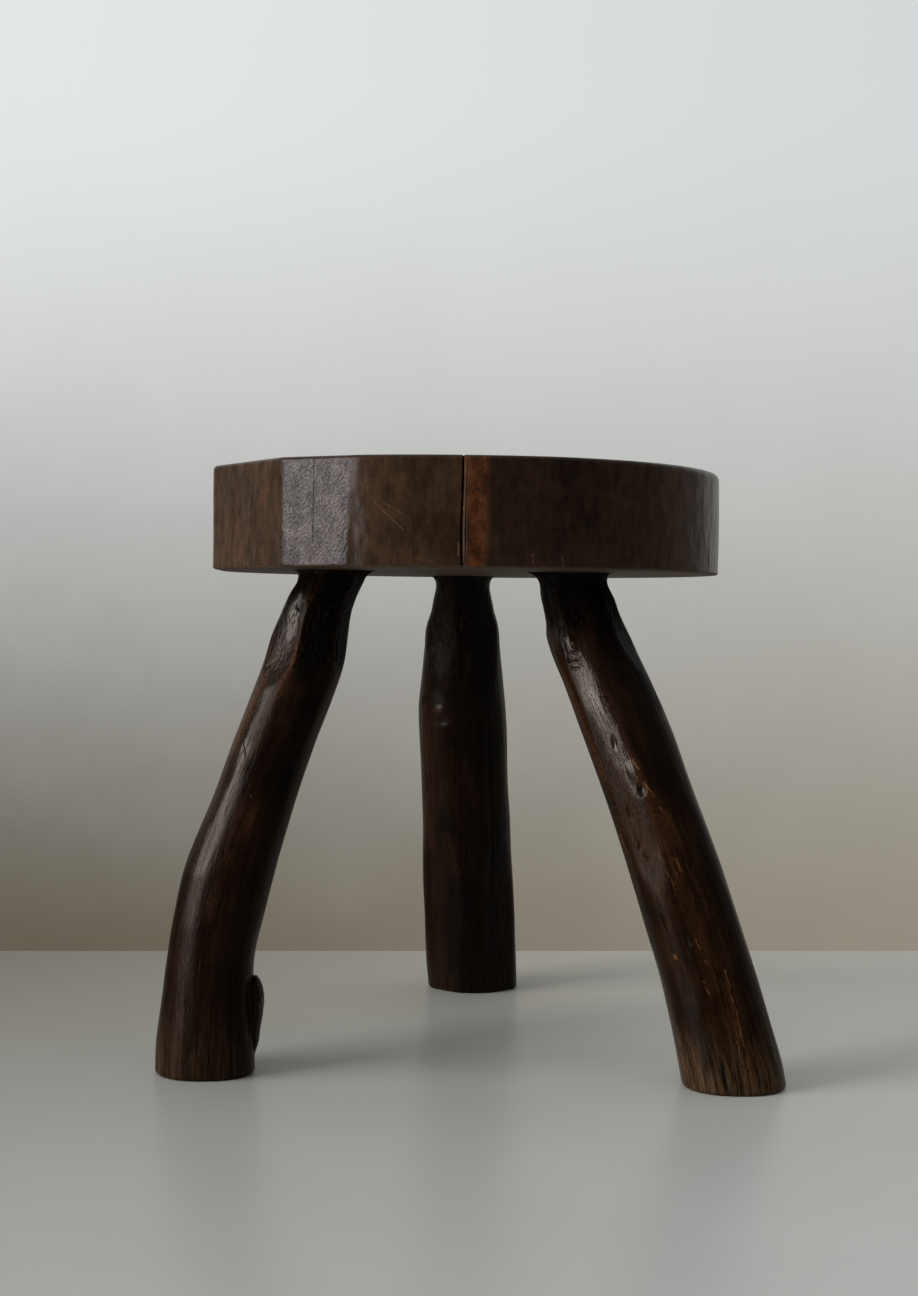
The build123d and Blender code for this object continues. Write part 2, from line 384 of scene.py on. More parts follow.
class Painter:
    """Builds the nodes of one node tree."""

    def __init__(self, tree: bpy.types.NodeTree) -> None:
        """Keeps the tree that the nodes go into."""
        self.tree = tree

    def node(
        self,
        kind: str,
        settings: dict[str, Any] | None = None,
        sockets: dict[int | str, Any] | None = None,
        output: int | str = 0,
    ) -> Value:
        """Adds a node.

        Args:
            kind: the node's type.
            settings: its own settings, set before its sockets.
            sockets: a number, a colour, a vector or a Value for each socket, by name or place.
            output: which of its outputs is wanted.

        Returns:
            That output.
        """
        made = self.tree.nodes.new(kind)
        for name, value in (settings or {}).items():
            setattr(made, name, value)
        self.feed(made, sockets or {})
        return Value(self, made.outputs[output])

    def feed(self, made: bpy.types.Node, sockets: dict[int | str, Any]) -> None:
        """Links or sets sockets of a node.

        Args:
            made: the node.
            sockets: as for node.
        """
        for key, value in sockets.items():
            if isinstance(value, Value):
                self.tree.links.new(value.socket, made.inputs[key])
            elif isinstance(value, tuple) and made.inputs[key].type == "RGBA":
                made.inputs[key].default_value = (*value, 1.0)
            else:
                made.inputs[key].default_value = value

    def mark(self, name: str, output: str = "Fac") -> Value:
        """A number that the mesh carries for each point, or three as output Vector."""
        return self.node("ShaderNodeAttribute", {"attribute_name": name}, output=output)

    def vectors(self, operation: str, *terms: Value | tuple, output: int = 0) -> Value:
        """One Vector Math node on the given terms."""
        settings = {"operation": operation}
        return self.node("ShaderNodeVectorMath", settings, dict(enumerate(terms)), output)

    def scaled(self, vector: Value | tuple, amount: Number) -> Value:
        """A vector or a colour times one number."""
        sockets = {0: vector, "Scale": amount}
        return self.node("ShaderNodeVectorMath", {"operation": "SCALE"}, sockets)

    def place(self) -> Value:
        """Where the shaded point is on the piece, in millimetres."""
        return self.scaled(self.node("ShaderNodeTexCoord", output="Object"), 1 / MM)

    def axes(self, vector: Value) -> tuple[Value, Value, Value]:
        """The three numbers of a vector."""
        first = self.node("ShaderNodeSeparateXYZ", sockets={0: vector})
        return first, first.beside(1), first.beside(2)

    def noise(self, place: Value, grain: tuple, detail: float = 3, shift: float = 0) -> Value:
        """Noise from 0 to 1 whose features have the given size along each axis.

        Args:
            place: the point, in millimetres.
            grain: the size of a feature along X, Y and Z, in millimetres.
            detail: how many finer layers are added.
            shift: moves the pattern, so that two of them differ.

        Returns:
            The noise.
        """
        terms = (place, tuple(1 / size for size in grain), (shift, shift, shift))
        moved = self.vectors("MULTIPLY_ADD", *terms)
        sockets = {"Vector": moved, "Scale": 1.0, "Detail": detail, "Roughness": 0.6}
        return self.node("ShaderNodeTexNoise", {"noise_dimensions": "3D"}, sockets)

    def mix(self, share: Number, first: Value | Colour, second: Value | Colour) -> Value:
        """A colour between two, by share of the second."""
        settings = {"data_type": "RGBA", "clamp_factor": True}
        return self.node("ShaderNodeMix", settings, {0: share, 6: first, 7: second}, 2)

    def wrapped(self, place: Value, radius: float) -> Value:
        """Distance round a piece from its front, and height, as a vector.

        Args:
            place: the point, measured from the piece's middle.
            radius: the piece's mean radius.

        Returns:
            The bearing from the front in radians times the radius, and Z.
        """
        x, y, z = self.axes(place)
        distance = x.angle_from(-y) * radius
        return self.node("ShaderNodeCombineXYZ", sockets={0: distance, 1: z, 2: 0.0})

    def strokes(self, place: Value, lines: Sequence[Stroke]) -> Number:
        """How strongly a point is covered by the nearest of some lines.

        The distance to a line is that to the nearest point between its ends.

        Args:
            place: distance round the piece and height, as from wrapped.
            lines: the lines.

        Returns:
            The cover, from 0 to 1, and plain 0 where there is no line.
        """
        total: Number = 0.0
        for line in lines:
            run = np.subtract(line.end, line.start)
            along = (*(run / (run @ run)), 0.0)
            from_start = self.vectors("SUBTRACT", place, (*line.start, 0.0))
            share = self.vectors("DOT_PRODUCT", from_start, along, output=1).eased(0, 1, "LINEAR")
            nearest = self.scaled((*run, 0.0), share)
            gap = self.vectors("DISTANCE", from_start, nearest, output=1)
            cover = gap.eased(line.width, line.width * 0.3) * line.strength
            total = cover.most(total)
        return total

    def relief(self, *layers: tuple[Number, Number]) -> Value:
        """Fine relief on a surface, in layers that each lie on the one before.

        Args:
            layers: for each, its height from 0 to 1, and how far 1 stands above 0 in millimetres.

        Returns:
            The shading normal.
        """
        sockets: dict[int | str, Any] = {"Distance": MM, "Strength": 1.0}
        for height, depth in layers:
            sockets["Height"] = height * depth
            sockets["Normal"] = self.node("ShaderNodeBump", sockets=sockets)
        return sockets["Normal"]


# ---- Finishes -----------------------------------------------------------------------------------
@dataclass(frozen=True)
class Wood:
    """Colours of an old, hand-polished wood, as linear red, green and blue, and its gloss."""

    dull: float  # specular level where no hand has polished it
    gloss: float  # and where one has
    film: Colour  # the colour that the brown film on the wood gives its reflections
    dark: Colour
    middle: Colour
    red: Colour
    worn: Colour
    dusty: Colour
    pit: Colour = (0.004, 0.003, 0.0025)


SEAT_WOOD = Wood(
    dull=0.14,
    gloss=0.40,
    film=(0.95, 0.94, 1.0),
    dark=(0.0250, 0.0125, 0.0062),
    middle=(0.0500, 0.0275, 0.0155),
    red=(0.074, 0.0310, 0.0140),
    worn=(0.170, 0.110, 0.074),
    dusty=(0.120, 0.080, 0.050),
)
LEG_WOOD = Wood(
    dull=0.07,
    gloss=0.42,
    film=(1.0, 0.880, 0.800),
    dark=(0.0058, 0.0026, 0.0010),
    middle=(0.0170, 0.0071, 0.0029),
    red=(0.042, 0.0160, 0.0068),
    worn=(0.170, 0.066, 0.028),
    dusty=(0.105, 0.064, 0.033),
)
STAIN = ((0.046, 0.0145, 0.0048), (0.125, 0.041, 0.0135))  # the strip beside the seat's check
BARE = ((0.050, 0.030, 0.018), (0.095, 0.060, 0.038))  # the seat's unpolished underside
CHIPPED: Colour = (0.120, 0.055, 0.034)  # where the seat's rim is chipped or rubbed


@dataclass(frozen=True)
class Marks:
    """Lines and stretches on a piece, by how they look."""

    cracks: tuple[Stroke, ...] = ()
    # pale lines: scratches, and on the seat the painted highlight of the check's lit lip
    scratches: tuple[Stroke, ...] = ()
    rubbed: tuple[Stroke, ...] = ()
    warm: tuple[Stroke, ...] = ()  # wide stretches where red wood shows through the film
    sooty: tuple[Stroke, ...] = ()  # wide stretches made nearly black: smoke and hands, and painted shade under the seat and on the sides away from the light
    handled: tuple[Stroke, ...] = ()  # wide stretches that hands have polished

    def covers(self, paint: Painter, place: Value) -> list[Number]:
        """How strongly each look covers a place, in the order above."""
        return [paint.strokes(place, lines) for lines in vars(self).values()]


def marks_on(radius: float, **looks: Sequence[tuple]) -> Marks:
    """Marks on a piece.

    Args:
        radius: the piece's mean radius.
        looks: for each look, rows of height, bearing, height, bearing, width and strength.

    Returns:
        The marks, each from its first height and bearing to its second.
    """
    marks = {}
    for look, table in looks.items():
        lines = []
        for low, first, high, second, width, strength in table:
            start, end = np.radians(turned_from(np.array((first, second)), FRONT)) * radius
            lines.append(Stroke((start, low), (end, high), width, strength))
        marks[look] = tuple(lines)
    return Marks(**marks)


class Coat(Painter):
    """Builds one material: its shaders and what feeds them."""

    def __init__(self, name: str) -> None:
        """Starts an empty material with its output.

        Args:
            name: the material's name.
        """
        self.material = bpy.data.materials.new(name)
        self.material.use_nodes = True
        super().__init__(self.material.node_tree)
        self.tree.nodes.clear()
        self.output = self.tree.nodes.new("ShaderNodeOutputMaterial")

    def surface(self, sockets: dict[int | str, Any]) -> Value:
        """A main shader with the given sockets."""
        return self.node("ShaderNodeBsdfPrincipled", sockets=sockets)

    def blended(self, share: Number, first: Value, second: Value) -> Value:
        """A mix of two shaders, by share of the second."""
        return self.node("ShaderNodeMixShader", sockets={0: share, 1: first, 2: second})

    def finished(self, shader: Value) -> bpy.types.Material:
        """The material, showing a shader."""
        self.feed(self.output, {0: shader})
        return self.material

    def filmed(self, wood: Wood, handled: Number, *coat: Number) -> bpy.types.Material:
        """The material, as wood under a brown film that hands have polished in places.

        Args:
            wood: gives the film its colour and its two specular levels.
            handled: where the film is polished, from 0 to 1.
            coat: the colour, the roughness and the normal.

        Returns:
            The material: a mix of two shaders, alike but for their specular level.
        """
        sockets = dict(zip(("Base Color", "Roughness", "Normal"), coat))
        sockets["Specular Tint"] = wood.film
        levels = (wood.dull, wood.gloss)
        shaders = [self.surface({**sockets, "Specular IOR Level": level}) for level in levels]
        return self.finished(self.blended(handled, *shaders))


@dataclass(frozen=True)
class LegFinish:
    """Peeled, smoked and hand-polished branch wood, its grain following the branch, with painted shade
    on its necks and on the sides away from the light.
    """

    wood: Wood
    leg: "Leg"

    def material(self) -> bpy.types.Material:
        """Builds the material: wood, then wear, dust, cracks, the sawn end and the relief.

        Returns:
            The material.
        """
        paint = Coat(f"{self.leg.side.value}_leg_finish")
        wood, leg = self.wood, self.leg
        along = paint.mark("along", "Vector")
        rough, proud, ends = (paint.mark(name) for name in ("rough", "proud", "ends"))
        _, _, height = paint.axes(along)

        cloud = paint.noise(along, (13, 13, 30), 4, 9.7)
        patch = paint.noise(along, (24, 24, 60), 3, 14.2)
        streak = paint.noise(along, (2.4, 2.4, 46), 4)
        fine = paint.noise(along, (0.75, 0.75, 11), 3, 5.1)
        fibre = paint.noise(along, (0.50, 0.50, 15), 2, 2.3)
        speck = paint.noise(along, (1.1, 1.1, 1.9), 3, 7.9)
        covers = leg.marks.covers(paint, self._wavy(paint, along))
        cracks, scratches, rubbed, warm, sooty, handled = covers

        # Wood, from dark to red, and darker on rough and smoked stretches; on the necks, under the seat
        # and on the sides away from the light this darkening is partly painted shade.
        colour = paint.mix((cloud * 0.6 + streak * 0.4).eased(0.38, 0.64), wood.dark, wood.middle)
        reddish = patch.eased(0.48, 0.70) * (speck * 0.4 + streak * 0.6).eased(0.38, 0.60)
        warm = warm * (streak * 0.5 + speck * 0.5).eased(0.38, 0.56)
        colour = paint.mix((reddish * 0.7).most(warm), colour, wood.red)
        sooty = sooty * (1 - warm * 0.6)
        shade = (fine * 0.9 + 0.55) * (speck * 0.7 + 0.65) * (1 - rough * 0.55) * (1 - sooty * 0.8)
        colour = paint.scaled(colour, shade * leg.tone)

        # Rubbed through: along thin fibres, on proud edges and at the marks.
        thin = fibre.eased(0.63, 0.72) * (patch.eased(0.42, 0.60) * 0.6 + warm * 0.6)
        edge = proud.eased(0.35, 0.95) * speck.eased(0.42, 0.60)
        broken = (speck * 0.45 + fibre * 0.55).eased(0.44, 0.58)
        rub = (thin * 0.34).most(edge * 0.08).most(rubbed * broken * 0.75)
        colour = paint.mix(rub * (1 - sooty * 0.7), colour, paint.scaled(wood.worn, leg.tone))

        # The dusty foot, then pits, cracks, scratches and the sawn end.
        foot = height.eased(46, 4) * (streak * 0.5 + fine * 0.5).eased(0.36, 0.72)
        colour = paint.mix(foot * leg.foot_dust, colour, paint.scaled(wood.dusty, leg.tone))
        pits = fibre.eased(0.34, 0.25) * (height.eased(90, 10) * 0.8 + 0.2)
        dark = (pits * 0.8).most(cracks)
        colour = paint.mix(dark, colour, wood.pit)
        colour = paint.mix(scratches * broken * 0.7, colour, wood.dusty)
        colour = paint.mix(ends, colour, self._end_grain(paint))

        handled = handled * (1 - sooty * 0.9) * (1 - dark)
        handled = handled * (speck * 0.5 + streak * 0.5).eased(0.22, 0.50)
        coarse = leg.coarseness + cloud * 0.10 + rough * 0.06 + foot * 0.1 + dark * 0.2
        coarse = coarse + ends * 0.2 + sooty * 0.25 - handled * 0.06
        relief = paint.relief(
            (paint.noise(along, (3.6, 3.6, 14), 3, 30.0), 0.24),
            (paint.noise(along, (1.2, 1.2, 8), 3, 18.0), 0.18),
            (speck, 0.05),
            (1 - cracks, 0.5),
        )
        return paint.filmed(wood, handled, colour, coarse, relief)

    def _wavy(self, paint: Painter, along: Value) -> Value:
        """The place round the leg, shaken a little so that no line is straight.

        Args:
            paint: the material being built.
            along: the place, measured from the branch's middle.

        Returns:
            Distance round the leg and height, as from wrapped.
        """
        flat = paint.wrapped(along, self.leg.mean_radius)
        shake = paint.noise(along, (5, 5, 9), 3, 21.0).beside("Color")
        offset = paint.vectors("MULTIPLY_ADD", shake, (3.6, 2.6, 0.0), (-1.8, -1.3, 0.0))
        return paint.vectors("ADD", flat, offset)

    def _end_grain(self, paint: Painter) -> Value:
        """Growth rings on the sawn end of the tenon: a wave of the distance from its pith.

        Args:
            paint: the material being built.

        Returns:
            The colour.
        """
        wobble = paint.noise(paint.place(), (9, 9, 9), 2, 3.3)
        distance = paint.vectors("LENGTH", paint.mark("end", "Vector"), output=1) + wobble * 2.5
        ring = (distance * 3.6).sine() * 0.5 + 0.5
        stain = paint.noise(paint.place(), (6, 6, 6), 4, 13.0)
        colour = paint.mix(ring * 0.6, self.wood.dark, self.wood.middle)
        return paint.mix(stain.eased(0.45, 0.75) * 0.5, colour, self.wood.dusty)


@dataclass(frozen=True)
class SeatFinish:
    """Slab wood: upright grain on the rim, growth rings on both faces, polished by hands."""

    wood: Wood
    marks: Marks
    seat: "Seat"

    def material(self) -> bpy.types.Material:
        """Builds the material: the rim's wood, then both faces, the marks and the relief.

        Returns:
            The material.
        """
        paint = Coat("seat_wood_finish")
        wood, seat = self.wood, self.seat
        place = paint.place()
        middle = paint.vectors("SUBTRACT", place, (seat.x, seat.y, 0.0))
        flat = paint.wrapped(middle, seat.radius)
        across, _, _ = paint.axes(flat)
        top, under, check = (paint.mark(name) for name in ("top", "under", "check"))
        cracks, scratches, rubbed, *_ = self.marks.covers(paint, flat)

        mottle = paint.noise(place, (6.5, 6.5, 11), 4)
        broad = paint.noise(place, (30, 30, 44), 3, 4.4)
        grain = paint.noise(place, (1.3, 1.3, 26), 4, 8.8)
        speck = paint.noise(place, (1.3, 1.3, 1.7), 3, 1.7)

        # Stretches of the rim, by their distance round it: a dull flat, a polished one, a strip of
        # reddish stain beside the check, and a darker stretch beyond it that fades.
        check_place = seat.distance_round(seat.check_bearing)
        strip_end = seat.distance_round(seat.strip_bearing)
        hewn_end, polish_end = (seat.distance_round(bearing) for bearing, _ in seat.arrises[2:4])
        edge = across + speck * 2.0 + mottle * 4.0 - 3.0
        beyond = edge.eased(strip_end - 3.2, strip_end + 2.4)
        fading = edge.eased(strip_end + 95, strip_end + 45)
        nearing = edge.eased(check_place - 42, check_place - 8)
        hewn = edge.eased(hewn_end + 1.5, hewn_end - 2.5)
        polished = (1 - hewn) * edge.eased(polish_end + 2.0, polish_end - 1.5)
        strip = edge.eased(check_place + 0.6, check_place + 2.4) * (1 - beyond)
        strip = strip * (mottle * 0.6 + broad * 0.4).eased(0.26, 0.54) * (0.55 + speck * 0.7)

        tone = (mottle * 0.48 + broad * 0.38 + grain * 0.14).eased(0.36, 0.62)
        rim = paint.mix(tone, wood.dark, wood.middle)
        reddish = broad.eased(0.46, 0.66) * (mottle * 0.7 + grain * 0.3).eased(0.42, 0.60)
        rim = paint.mix(reddish * 0.5, rim, wood.red)
        shade = (1 - beyond * (fading * 0.48 - 0.04)) * (1 - nearing * 0.04)
        shade = shade * (1 + hewn * 0.12) * (1 - polished * 0.35)
        rim = paint.scaled(rim, (speck * 0.7 + 0.65) * (grain * 0.25 + 0.88) * shade)
        stained = (speck * 0.35 + mottle * 0.65).eased(0.34, 0.62)
        rim = paint.mix(strip, rim, paint.mix(stained, *STAIN))

        colour = paint.mix(top, rim, self._faces(paint, place, middle, speck))
        colour = paint.mix(under, colour, paint.mix(speck.eased(0.35, 0.70), *BARE))
        colour = paint.mix(rubbed * speck.eased(0.38, 0.55), colour, CHIPPED)
        # Pale scratches, and beside the check a painted highlight on its lit lip.
        colour = paint.mix(scratches, colour, wood.worn)
        split = (cracks * speck.eased(0.30, 0.50)).most(check * 0.85)
        colour = paint.mix(split, colour, wood.pit)

        handled = polished * ((mottle * 0.5 + speck * 0.5).eased(0.30, 0.58) * 0.7 + 0.3)
        handled = (handled * (1 - under) * (1 - top)).most(top * 0.5)
        coarse = 0.20 + mottle * 0.12 + under * 0.35 + check * 0.3 + top * 0.10 - handled * 0.09
        relief = paint.relief(
            (paint.noise(place, (13, 13, 17), 2, 40.0), 0.50),
            (self._scraper(paint, flat), handled * 0.42 + 0.06),
            (grain, 0.03),
            (speck, 0.05),
            (1 - cracks, 0.4),
        )
        return paint.filmed(wood, handled, colour, coarse, relief)

    def _faces(self, paint: Painter, place: Value, middle: Value, speck: Value) -> Value:
        """End grain: rings round the pith, rays out from it, and a dull polished wear.

        Args:
            paint: the material being built.
            place: the shaded point.
            middle: the same, measured from the seat's middle.
            speck: fine noise that breaks the rings.

        Returns:
            The colour.
        """
        wood = self.wood
        pith = paint.vectors("SUBTRACT", middle, (6.0, 9.0, 0.0))
        wobble = paint.noise(place, (40, 40, 40), 3, 6.1)
        flat_pith = paint.vectors("MULTIPLY", pith, (1.0, 1.0, 0.0))
        distance = paint.vectors("LENGTH", flat_pith, output=1) + wobble * 26
        ring = (distance * 1.9 + speck * 1.5).sine() * 0.5 + 0.5
        x, y, _ = paint.axes(pith)
        round_pith = {0: x.angle_from(y) * 40, 1: distance * 0.02, 2: 0.0}
        ray = paint.noise(paint.node("ShaderNodeCombineXYZ", sockets=round_pith), (1, 1, 1), 3, 2.9)
        cloud = paint.noise(place, (30, 30, 30), 4, 12.0)
        colour = paint.mix(ring * 0.5 + ray.eased(0.4, 0.7) * 0.3, wood.dark, wood.middle)
        colour = paint.mix(cloud.eased(0.42, 0.68) * 0.5, colour, wood.red)
        return paint.mix(speck.eased(0.62, 0.8) * 0.3, colour, wood.worn)

    def _scraper(self, paint: Painter, flat: Value) -> Value:
        """Slanting marks of the scraper on the rim: noise drawn out along a slanted line."""
        sockets = {"Vector": flat, "Rotation": (0.0, 0.0, np.radians(-42.0))}
        turned = paint.node("ShaderNodeMapping", sockets=sockets)
        return paint.noise(turned, (3.0, 1.2, 1.0), 3, 15.0)


@dataclass(frozen=True)
class WedgeFinish:
    """The worn end of a hardwood wedge."""

    wood: Wood

    def material(self) -> bpy.types.Material:
        """Builds the material: fine upright grain, dull and a little paler than the seat.

        Returns:
            The material.
        """
        paint = Coat("wedge_wood_finish")
        place = paint.place()
        grain = paint.noise(place, (0.9, 0.9, 9), 3)
        stain = paint.noise(place, (5, 5, 5), 4, 3.0)
        colour = paint.mix(grain.eased(0.35, 0.65), self.wood.middle, self.wood.dusty)
        colour = paint.mix(stain.eased(0.40, 0.65) * 0.8, colour, self.wood.dark)
        sockets = {
            "Base Color": colour,
            "Roughness": 0.5 + stain * 0.15,
            "Normal": paint.relief((grain, 0.15)),
            "Specular IOR Level": self.wood.dull,
            "Specular Tint": self.wood.film,
        }
        return paint.finished(paint.surface(sockets))


# ---- Seat ---------------------------------------------------------------------------------------
# Shares of the reach, turns of an edge in degrees, and distances in from the edge, of the rings.
UNDER_SHARES = (0.06, 0.16, 0.28, 0.40, 0.52, 0.64, 0.76, 0.86, 0.94, 0.98, 1.0)
BOTTOM_TURNS = (18, 36, 54, 72)
RIM_ROWS = 62
OUTLINE_STEPS = 7200  # bearings at which the outline is worked out
TOP_TURNS = (12, 24, 36, 48, 60, 72, 84)
TOP_INSETS = (0, 1, 2.5, 5, 8, 12, 17, 23, 30, 38, 47, 57, 68, 80, 93, 107, 122, 138, 150)


@dataclass
class Seat:
    """The slab: a hewn outline, worn edges, a dished top and a drying check at the front."""

    x: float = -4.5
    y: float = -28.7
    top: float = 358.0
    thickness: float = 62.5
    radius: float = 157.5
    # Bearing and distance outside the radius of each arris of the hewn flats, in order. The dull
    # flat ends at the third arris and the polished one at the fourth.
    arrises: tuple[tuple[float, float], ...] = (
        (172.0, 0.0), (198.0, 4.3), (230.5, 8.0), (246.0, 4.0)
    )
    # The same for the smooth stretch that follows them, round the front to the back.
    front: tuple[tuple[float, float], ...] = (
        (267.0, 0.4), (291.0, 0.5), (330.0, 0.4), (354.0, 1.1), (400.0, 0.0), (532.0, 0.0)
    )
    arris_wear: float = 1.1  # degrees over which an arris is rounded
    tilt_bearing: float = 238.2  # the middle of the polished flat, which leans out at its foot
    tilt: float = 1.8
    dish: float = 1.6  # depth of the worn hollow in the top
    dish_reach: float = 0.92  # share of the radius that the hollow covers
    top_edge: float = 2.4
    right_edge: float = 4.6  # the top edge is worn rounder at the right
    right_bearing: float = 350.0
    bottom_edge: float = 1.5
    check_bearing: float = 269.05
    check_width: float = 0.68
    check_depth: float = 2.4
    check_length: float = 60.0
    strip_bearing: float = 274.3  # where the reddish strip beside the check ends
    columns: int = 800
    noise: Noise = field(default_factory=lambda: Noise(11))

    @property
    def middle(self) -> tuple[float, float]:
        """X and Y of the seat's middle."""
        return self.x, self.y

    @property
    def underside(self) -> float:
        """The height of the slab's lower face."""
        return self.top - self.thickness

    def distance_round(self, bearing: float) -> float:
        """A bearing's distance round the rim from the front."""
        return float(np.radians(bearing - FRONT)) * self.radius

    def outline(self, bearings: Array) -> Array:
        """The rim's distance from the middle of the seat at each bearing.

        Between two arrises it is a straight chord, in polar form; past the last one it is an
        S curve between stations. Both are then blurred over the wear of an arris.

        Args:
            bearings: any number of them.

        Returns:
            As many distances.
        """
        fine = np.linspace(0, 360, OUTLINE_STEPS, endpoint=False)
        reach = np.full(fine.shape, self.radius)
        across_x, across_y = heading(fine)
        for (start, proud), (stop, next_proud) in itertools.pairwise(self.arrises):
            x0, y0 = ((self.radius + proud) * part for part in heading(start))
            x1, y1 = ((self.radius + next_proud) * part for part in heading(stop))
            cross_x, cross_y = y1 - y0, x0 - x1
            chord = (cross_x * x0 + cross_y * y0) / (cross_x * across_x + cross_y * across_y)
            reach = np.where((fine >= start) & (fine <= stop), chord, reach)
        for (start, proud), (stop, next_proud) in itertools.pairwise((self.arrises[-1], *self.front)):
            turn = (fine - start) % 360
            curve = self.radius + proud + (next_proud - proud) * ease(turn, 0, stop - start)
            reach = np.where(turn < stop - start, curve, reach)
        blur = np.exp(-((turned_from(fine, 0.0) / self.arris_wear) ** 2))
        blurred = np.fft.ifft(np.fft.fft(reach) * np.fft.fft(blur / blur.sum())).real
        return np.interp(bearings % 360, fine, blurred, period=360)

    def surface(self, x: Array, y: Array) -> Array:
        """The height of the dished top: deepest in the middle, level near the rim."""
        hollow = self.radius * self.dish_reach
        share = np.clip(np.hypot(x - self.x, y - self.y) / hollow, 0, 1)
        return self.top - self.dish * (1 - share**2) ** 2

    def _density(self, bearings: Array) -> Array:
        """Columns crowd on the front half, and most of all at the check."""
        front = 1 + 1.4 * (np.cos(np.radians(turned_from(bearings, 262.0))) > -0.1)
        return front + 14 * np.exp(-((turned_from(bearings, self.check_bearing) / 0.7) ** 2))

    def _check_share(self, bearings: Array, heights: Array) -> Array:
        """How deep in the check a place is: 1 on its line, 0 past its lips."""
        wander = 0.28 * ease(heights, self.top - 30, self.top) + 0.07 * np.sin(heights / 6.5)
        turn = turned_from(bearings, self.check_bearing + wander)
        return np.clip(1 - np.abs(np.radians(turn)) * self.radius / self.check_width, 0, 1)

    def _rim_reach(self, bearings: Array, heights: Array) -> Array:
        """The rim's reach at a height: the outline with its hand-hewn unevenness.

        Args:
            bearings: one for each column.
            heights: the height of all of them, or of each.

        Returns:
            One distance from the middle for each column.
        """
        reach = self.outline(bearings)
        points = ring_at(ORIGIN, bearings, reach, heights)
        tilted = ease(np.abs(turned_from(bearings, self.tilt_bearing)), 9.5, 6.0)
        tilted = tilted * (0.5 - (heights - self.underside) / self.thickness)
        broad = self.noise.at(points / (46, 46, 60)) * 0.35 + tilted * self.tilt - 0.45
        scallops = self.noise.layered(points / (13, 13, 22) + 5.0, 2) * 0.20
        fine = self.noise.at(points / (4.0, 4.0, 9.0) + 9.0) * 0.07
        return reach + broad + scallops + fine

    def _under_relief(self, bearings: Array, distance: Array, share: float) -> Array:
        """Shallow adze marks on the underside, fading at its rim and its middle."""
        marks = self.noise.layered(ring_at(ORIGIN, bearings, distance, 0.0) / 16.0 + 31.0, 2)
        return 0.22 * marks * ease(share, 1.0, 0.9) * ease(share, 0.7, 0.8)

    def shell(self) -> Shell:
        """The whole slab: underside, bottom edge, rim, top edge and top, in rings.

        Returns:
            The surface, without its mortises.
        """
        bearings = all_round(self.columns, self._density)
        round_right = ease(np.abs(turned_from(bearings, self.right_bearing)), 60.0, 15.0)
        uneven = self.noise.at(ring_at(ORIGIN, bearings, 4.0, 0.0))
        top_edge = self.top_edge + (self.right_edge - self.top_edge) * round_right + 0.5 * uneven
        bottom_edge = self.bottom_edge * (1 + 0.4 * np.roll(uneven, self.columns // 3))
        low_reach = self._rim_reach(bearings, self.underside)
        high_reach = self._rim_reach(bearings, self.top)
        split = self._check_share(bearings, self.top) * self.check_depth
        levels = []  # the distance and the height of each ring's points
        for share in UNDER_SHARES:
            distance = share * (low_reach - bottom_edge)
            levels.append((distance, self.underside + self._under_relief(bearings, distance, share)))
        for turn in np.radians(BOTTOM_TURNS):
            distance = low_reach - bottom_edge * (1 - np.sin(turn))
            levels.append((distance, self.underside + bottom_edge * (1 - np.cos(turn))))
        for share in np.linspace(0, 1, RIM_ROWS):
            height = self.underside + bottom_edge
            height = height + share * (self.thickness - bottom_edge - top_edge)
            opened = self._check_share(bearings, height) * self.check_depth
            levels.append((self._rim_reach(bearings, height) - opened, height))
        for turn in np.radians(TOP_TURNS):
            distance = high_reach - top_edge * (1 - np.cos(turn))
            height = self.top - top_edge * (1 - np.sin(turn))
            sunk = split * (1 - 0.7 * np.sin(turn))
            levels.append((distance - sunk * np.cos(turn), height - sunk * np.sin(turn)))
        for inset in TOP_INSETS:
            distance = (high_reach - top_edge) * (1 - inset / self.radius)
            points = ring_at(self.middle, bearings, distance, self.top)
            depth = split * 0.3 * np.clip(1 - inset / self.check_length, 0, 1)
            levels.append((distance, self.surface(points[:, 0], points[:, 1]) - depth))
        rings = np.stack([ring_at(self.middle, bearings, *level) for level in levels])
        top_pole = self.surface(*self.middle)
        return Shell(rings, (*self.middle, self.underside), (*self.middle, top_pole))

    def build(self, legs: Sequence["Leg"]) -> None:
        """Makes the slab, cuts its mortises, marks and dresses it.

        Args:
            legs: the legs whose tenons it takes.
        """
        piece = Piece("seat", self.shell())
        for leg in legs:
            piece.cut(Piece("mortise", leg.mortise(self)))
        x, y, z = piece.points().T
        bearings = np.degrees(np.arctan2(y - self.y, x - self.x)) % 360
        inside = self.outline(bearings) - np.hypot(x - self.x, y - self.y)
        piece.mark("top", ease(z, self.top - 4.5, self.top - 2.6) * ease(inside, 0.2, 2.2))
        piece.mark("under", ease(z, self.underside + 1.3, self.underside + 0.5))
        near = ease(inside, self.check_length * 1.2, self.check_length * 0.6)
        piece.mark("check", ease(self._check_share(bearings, z), 0.2, 0.8) * near)
        piece.dress(SeatFinish(SEAT_WOOD, RIM_MARKS, self).material(), "seat_slab")


# ---- Legs ---------------------------------------------------------------------------------------
@dataclass(frozen=True)
class Station:
    """A level section of a branch: its height, its middle and its size along X and Y."""

    height: float
    x: float
    y: float
    width: float
    depth: float


@dataclass(frozen=True)
class Flat:
    """A flat hewn along a branch: the bearing it faces, and its reach at rising heights.

    It cuts where its reach is less than the branch's own, and runs out where it isn't.
    """

    bearing: float
    stations: tuple[tuple[float, float], ...]
    softness: float = 0.22  # how far its edges are rounded, in millimetres


@dataclass(frozen=True)
class Dent:
    """A shallow oval hollow, or a swelling where its depth is negative."""

    height: float
    bearing: float
    length: float
    width: float
    depth: float
    lean: float = 0.0


@dataclass(frozen=True)
class Tear:
    """A tuft of torn fibres where a leg meets the seat: its bearing, spread, reach and drop."""

    bearing: float
    spread: float
    reach: float
    drop: float


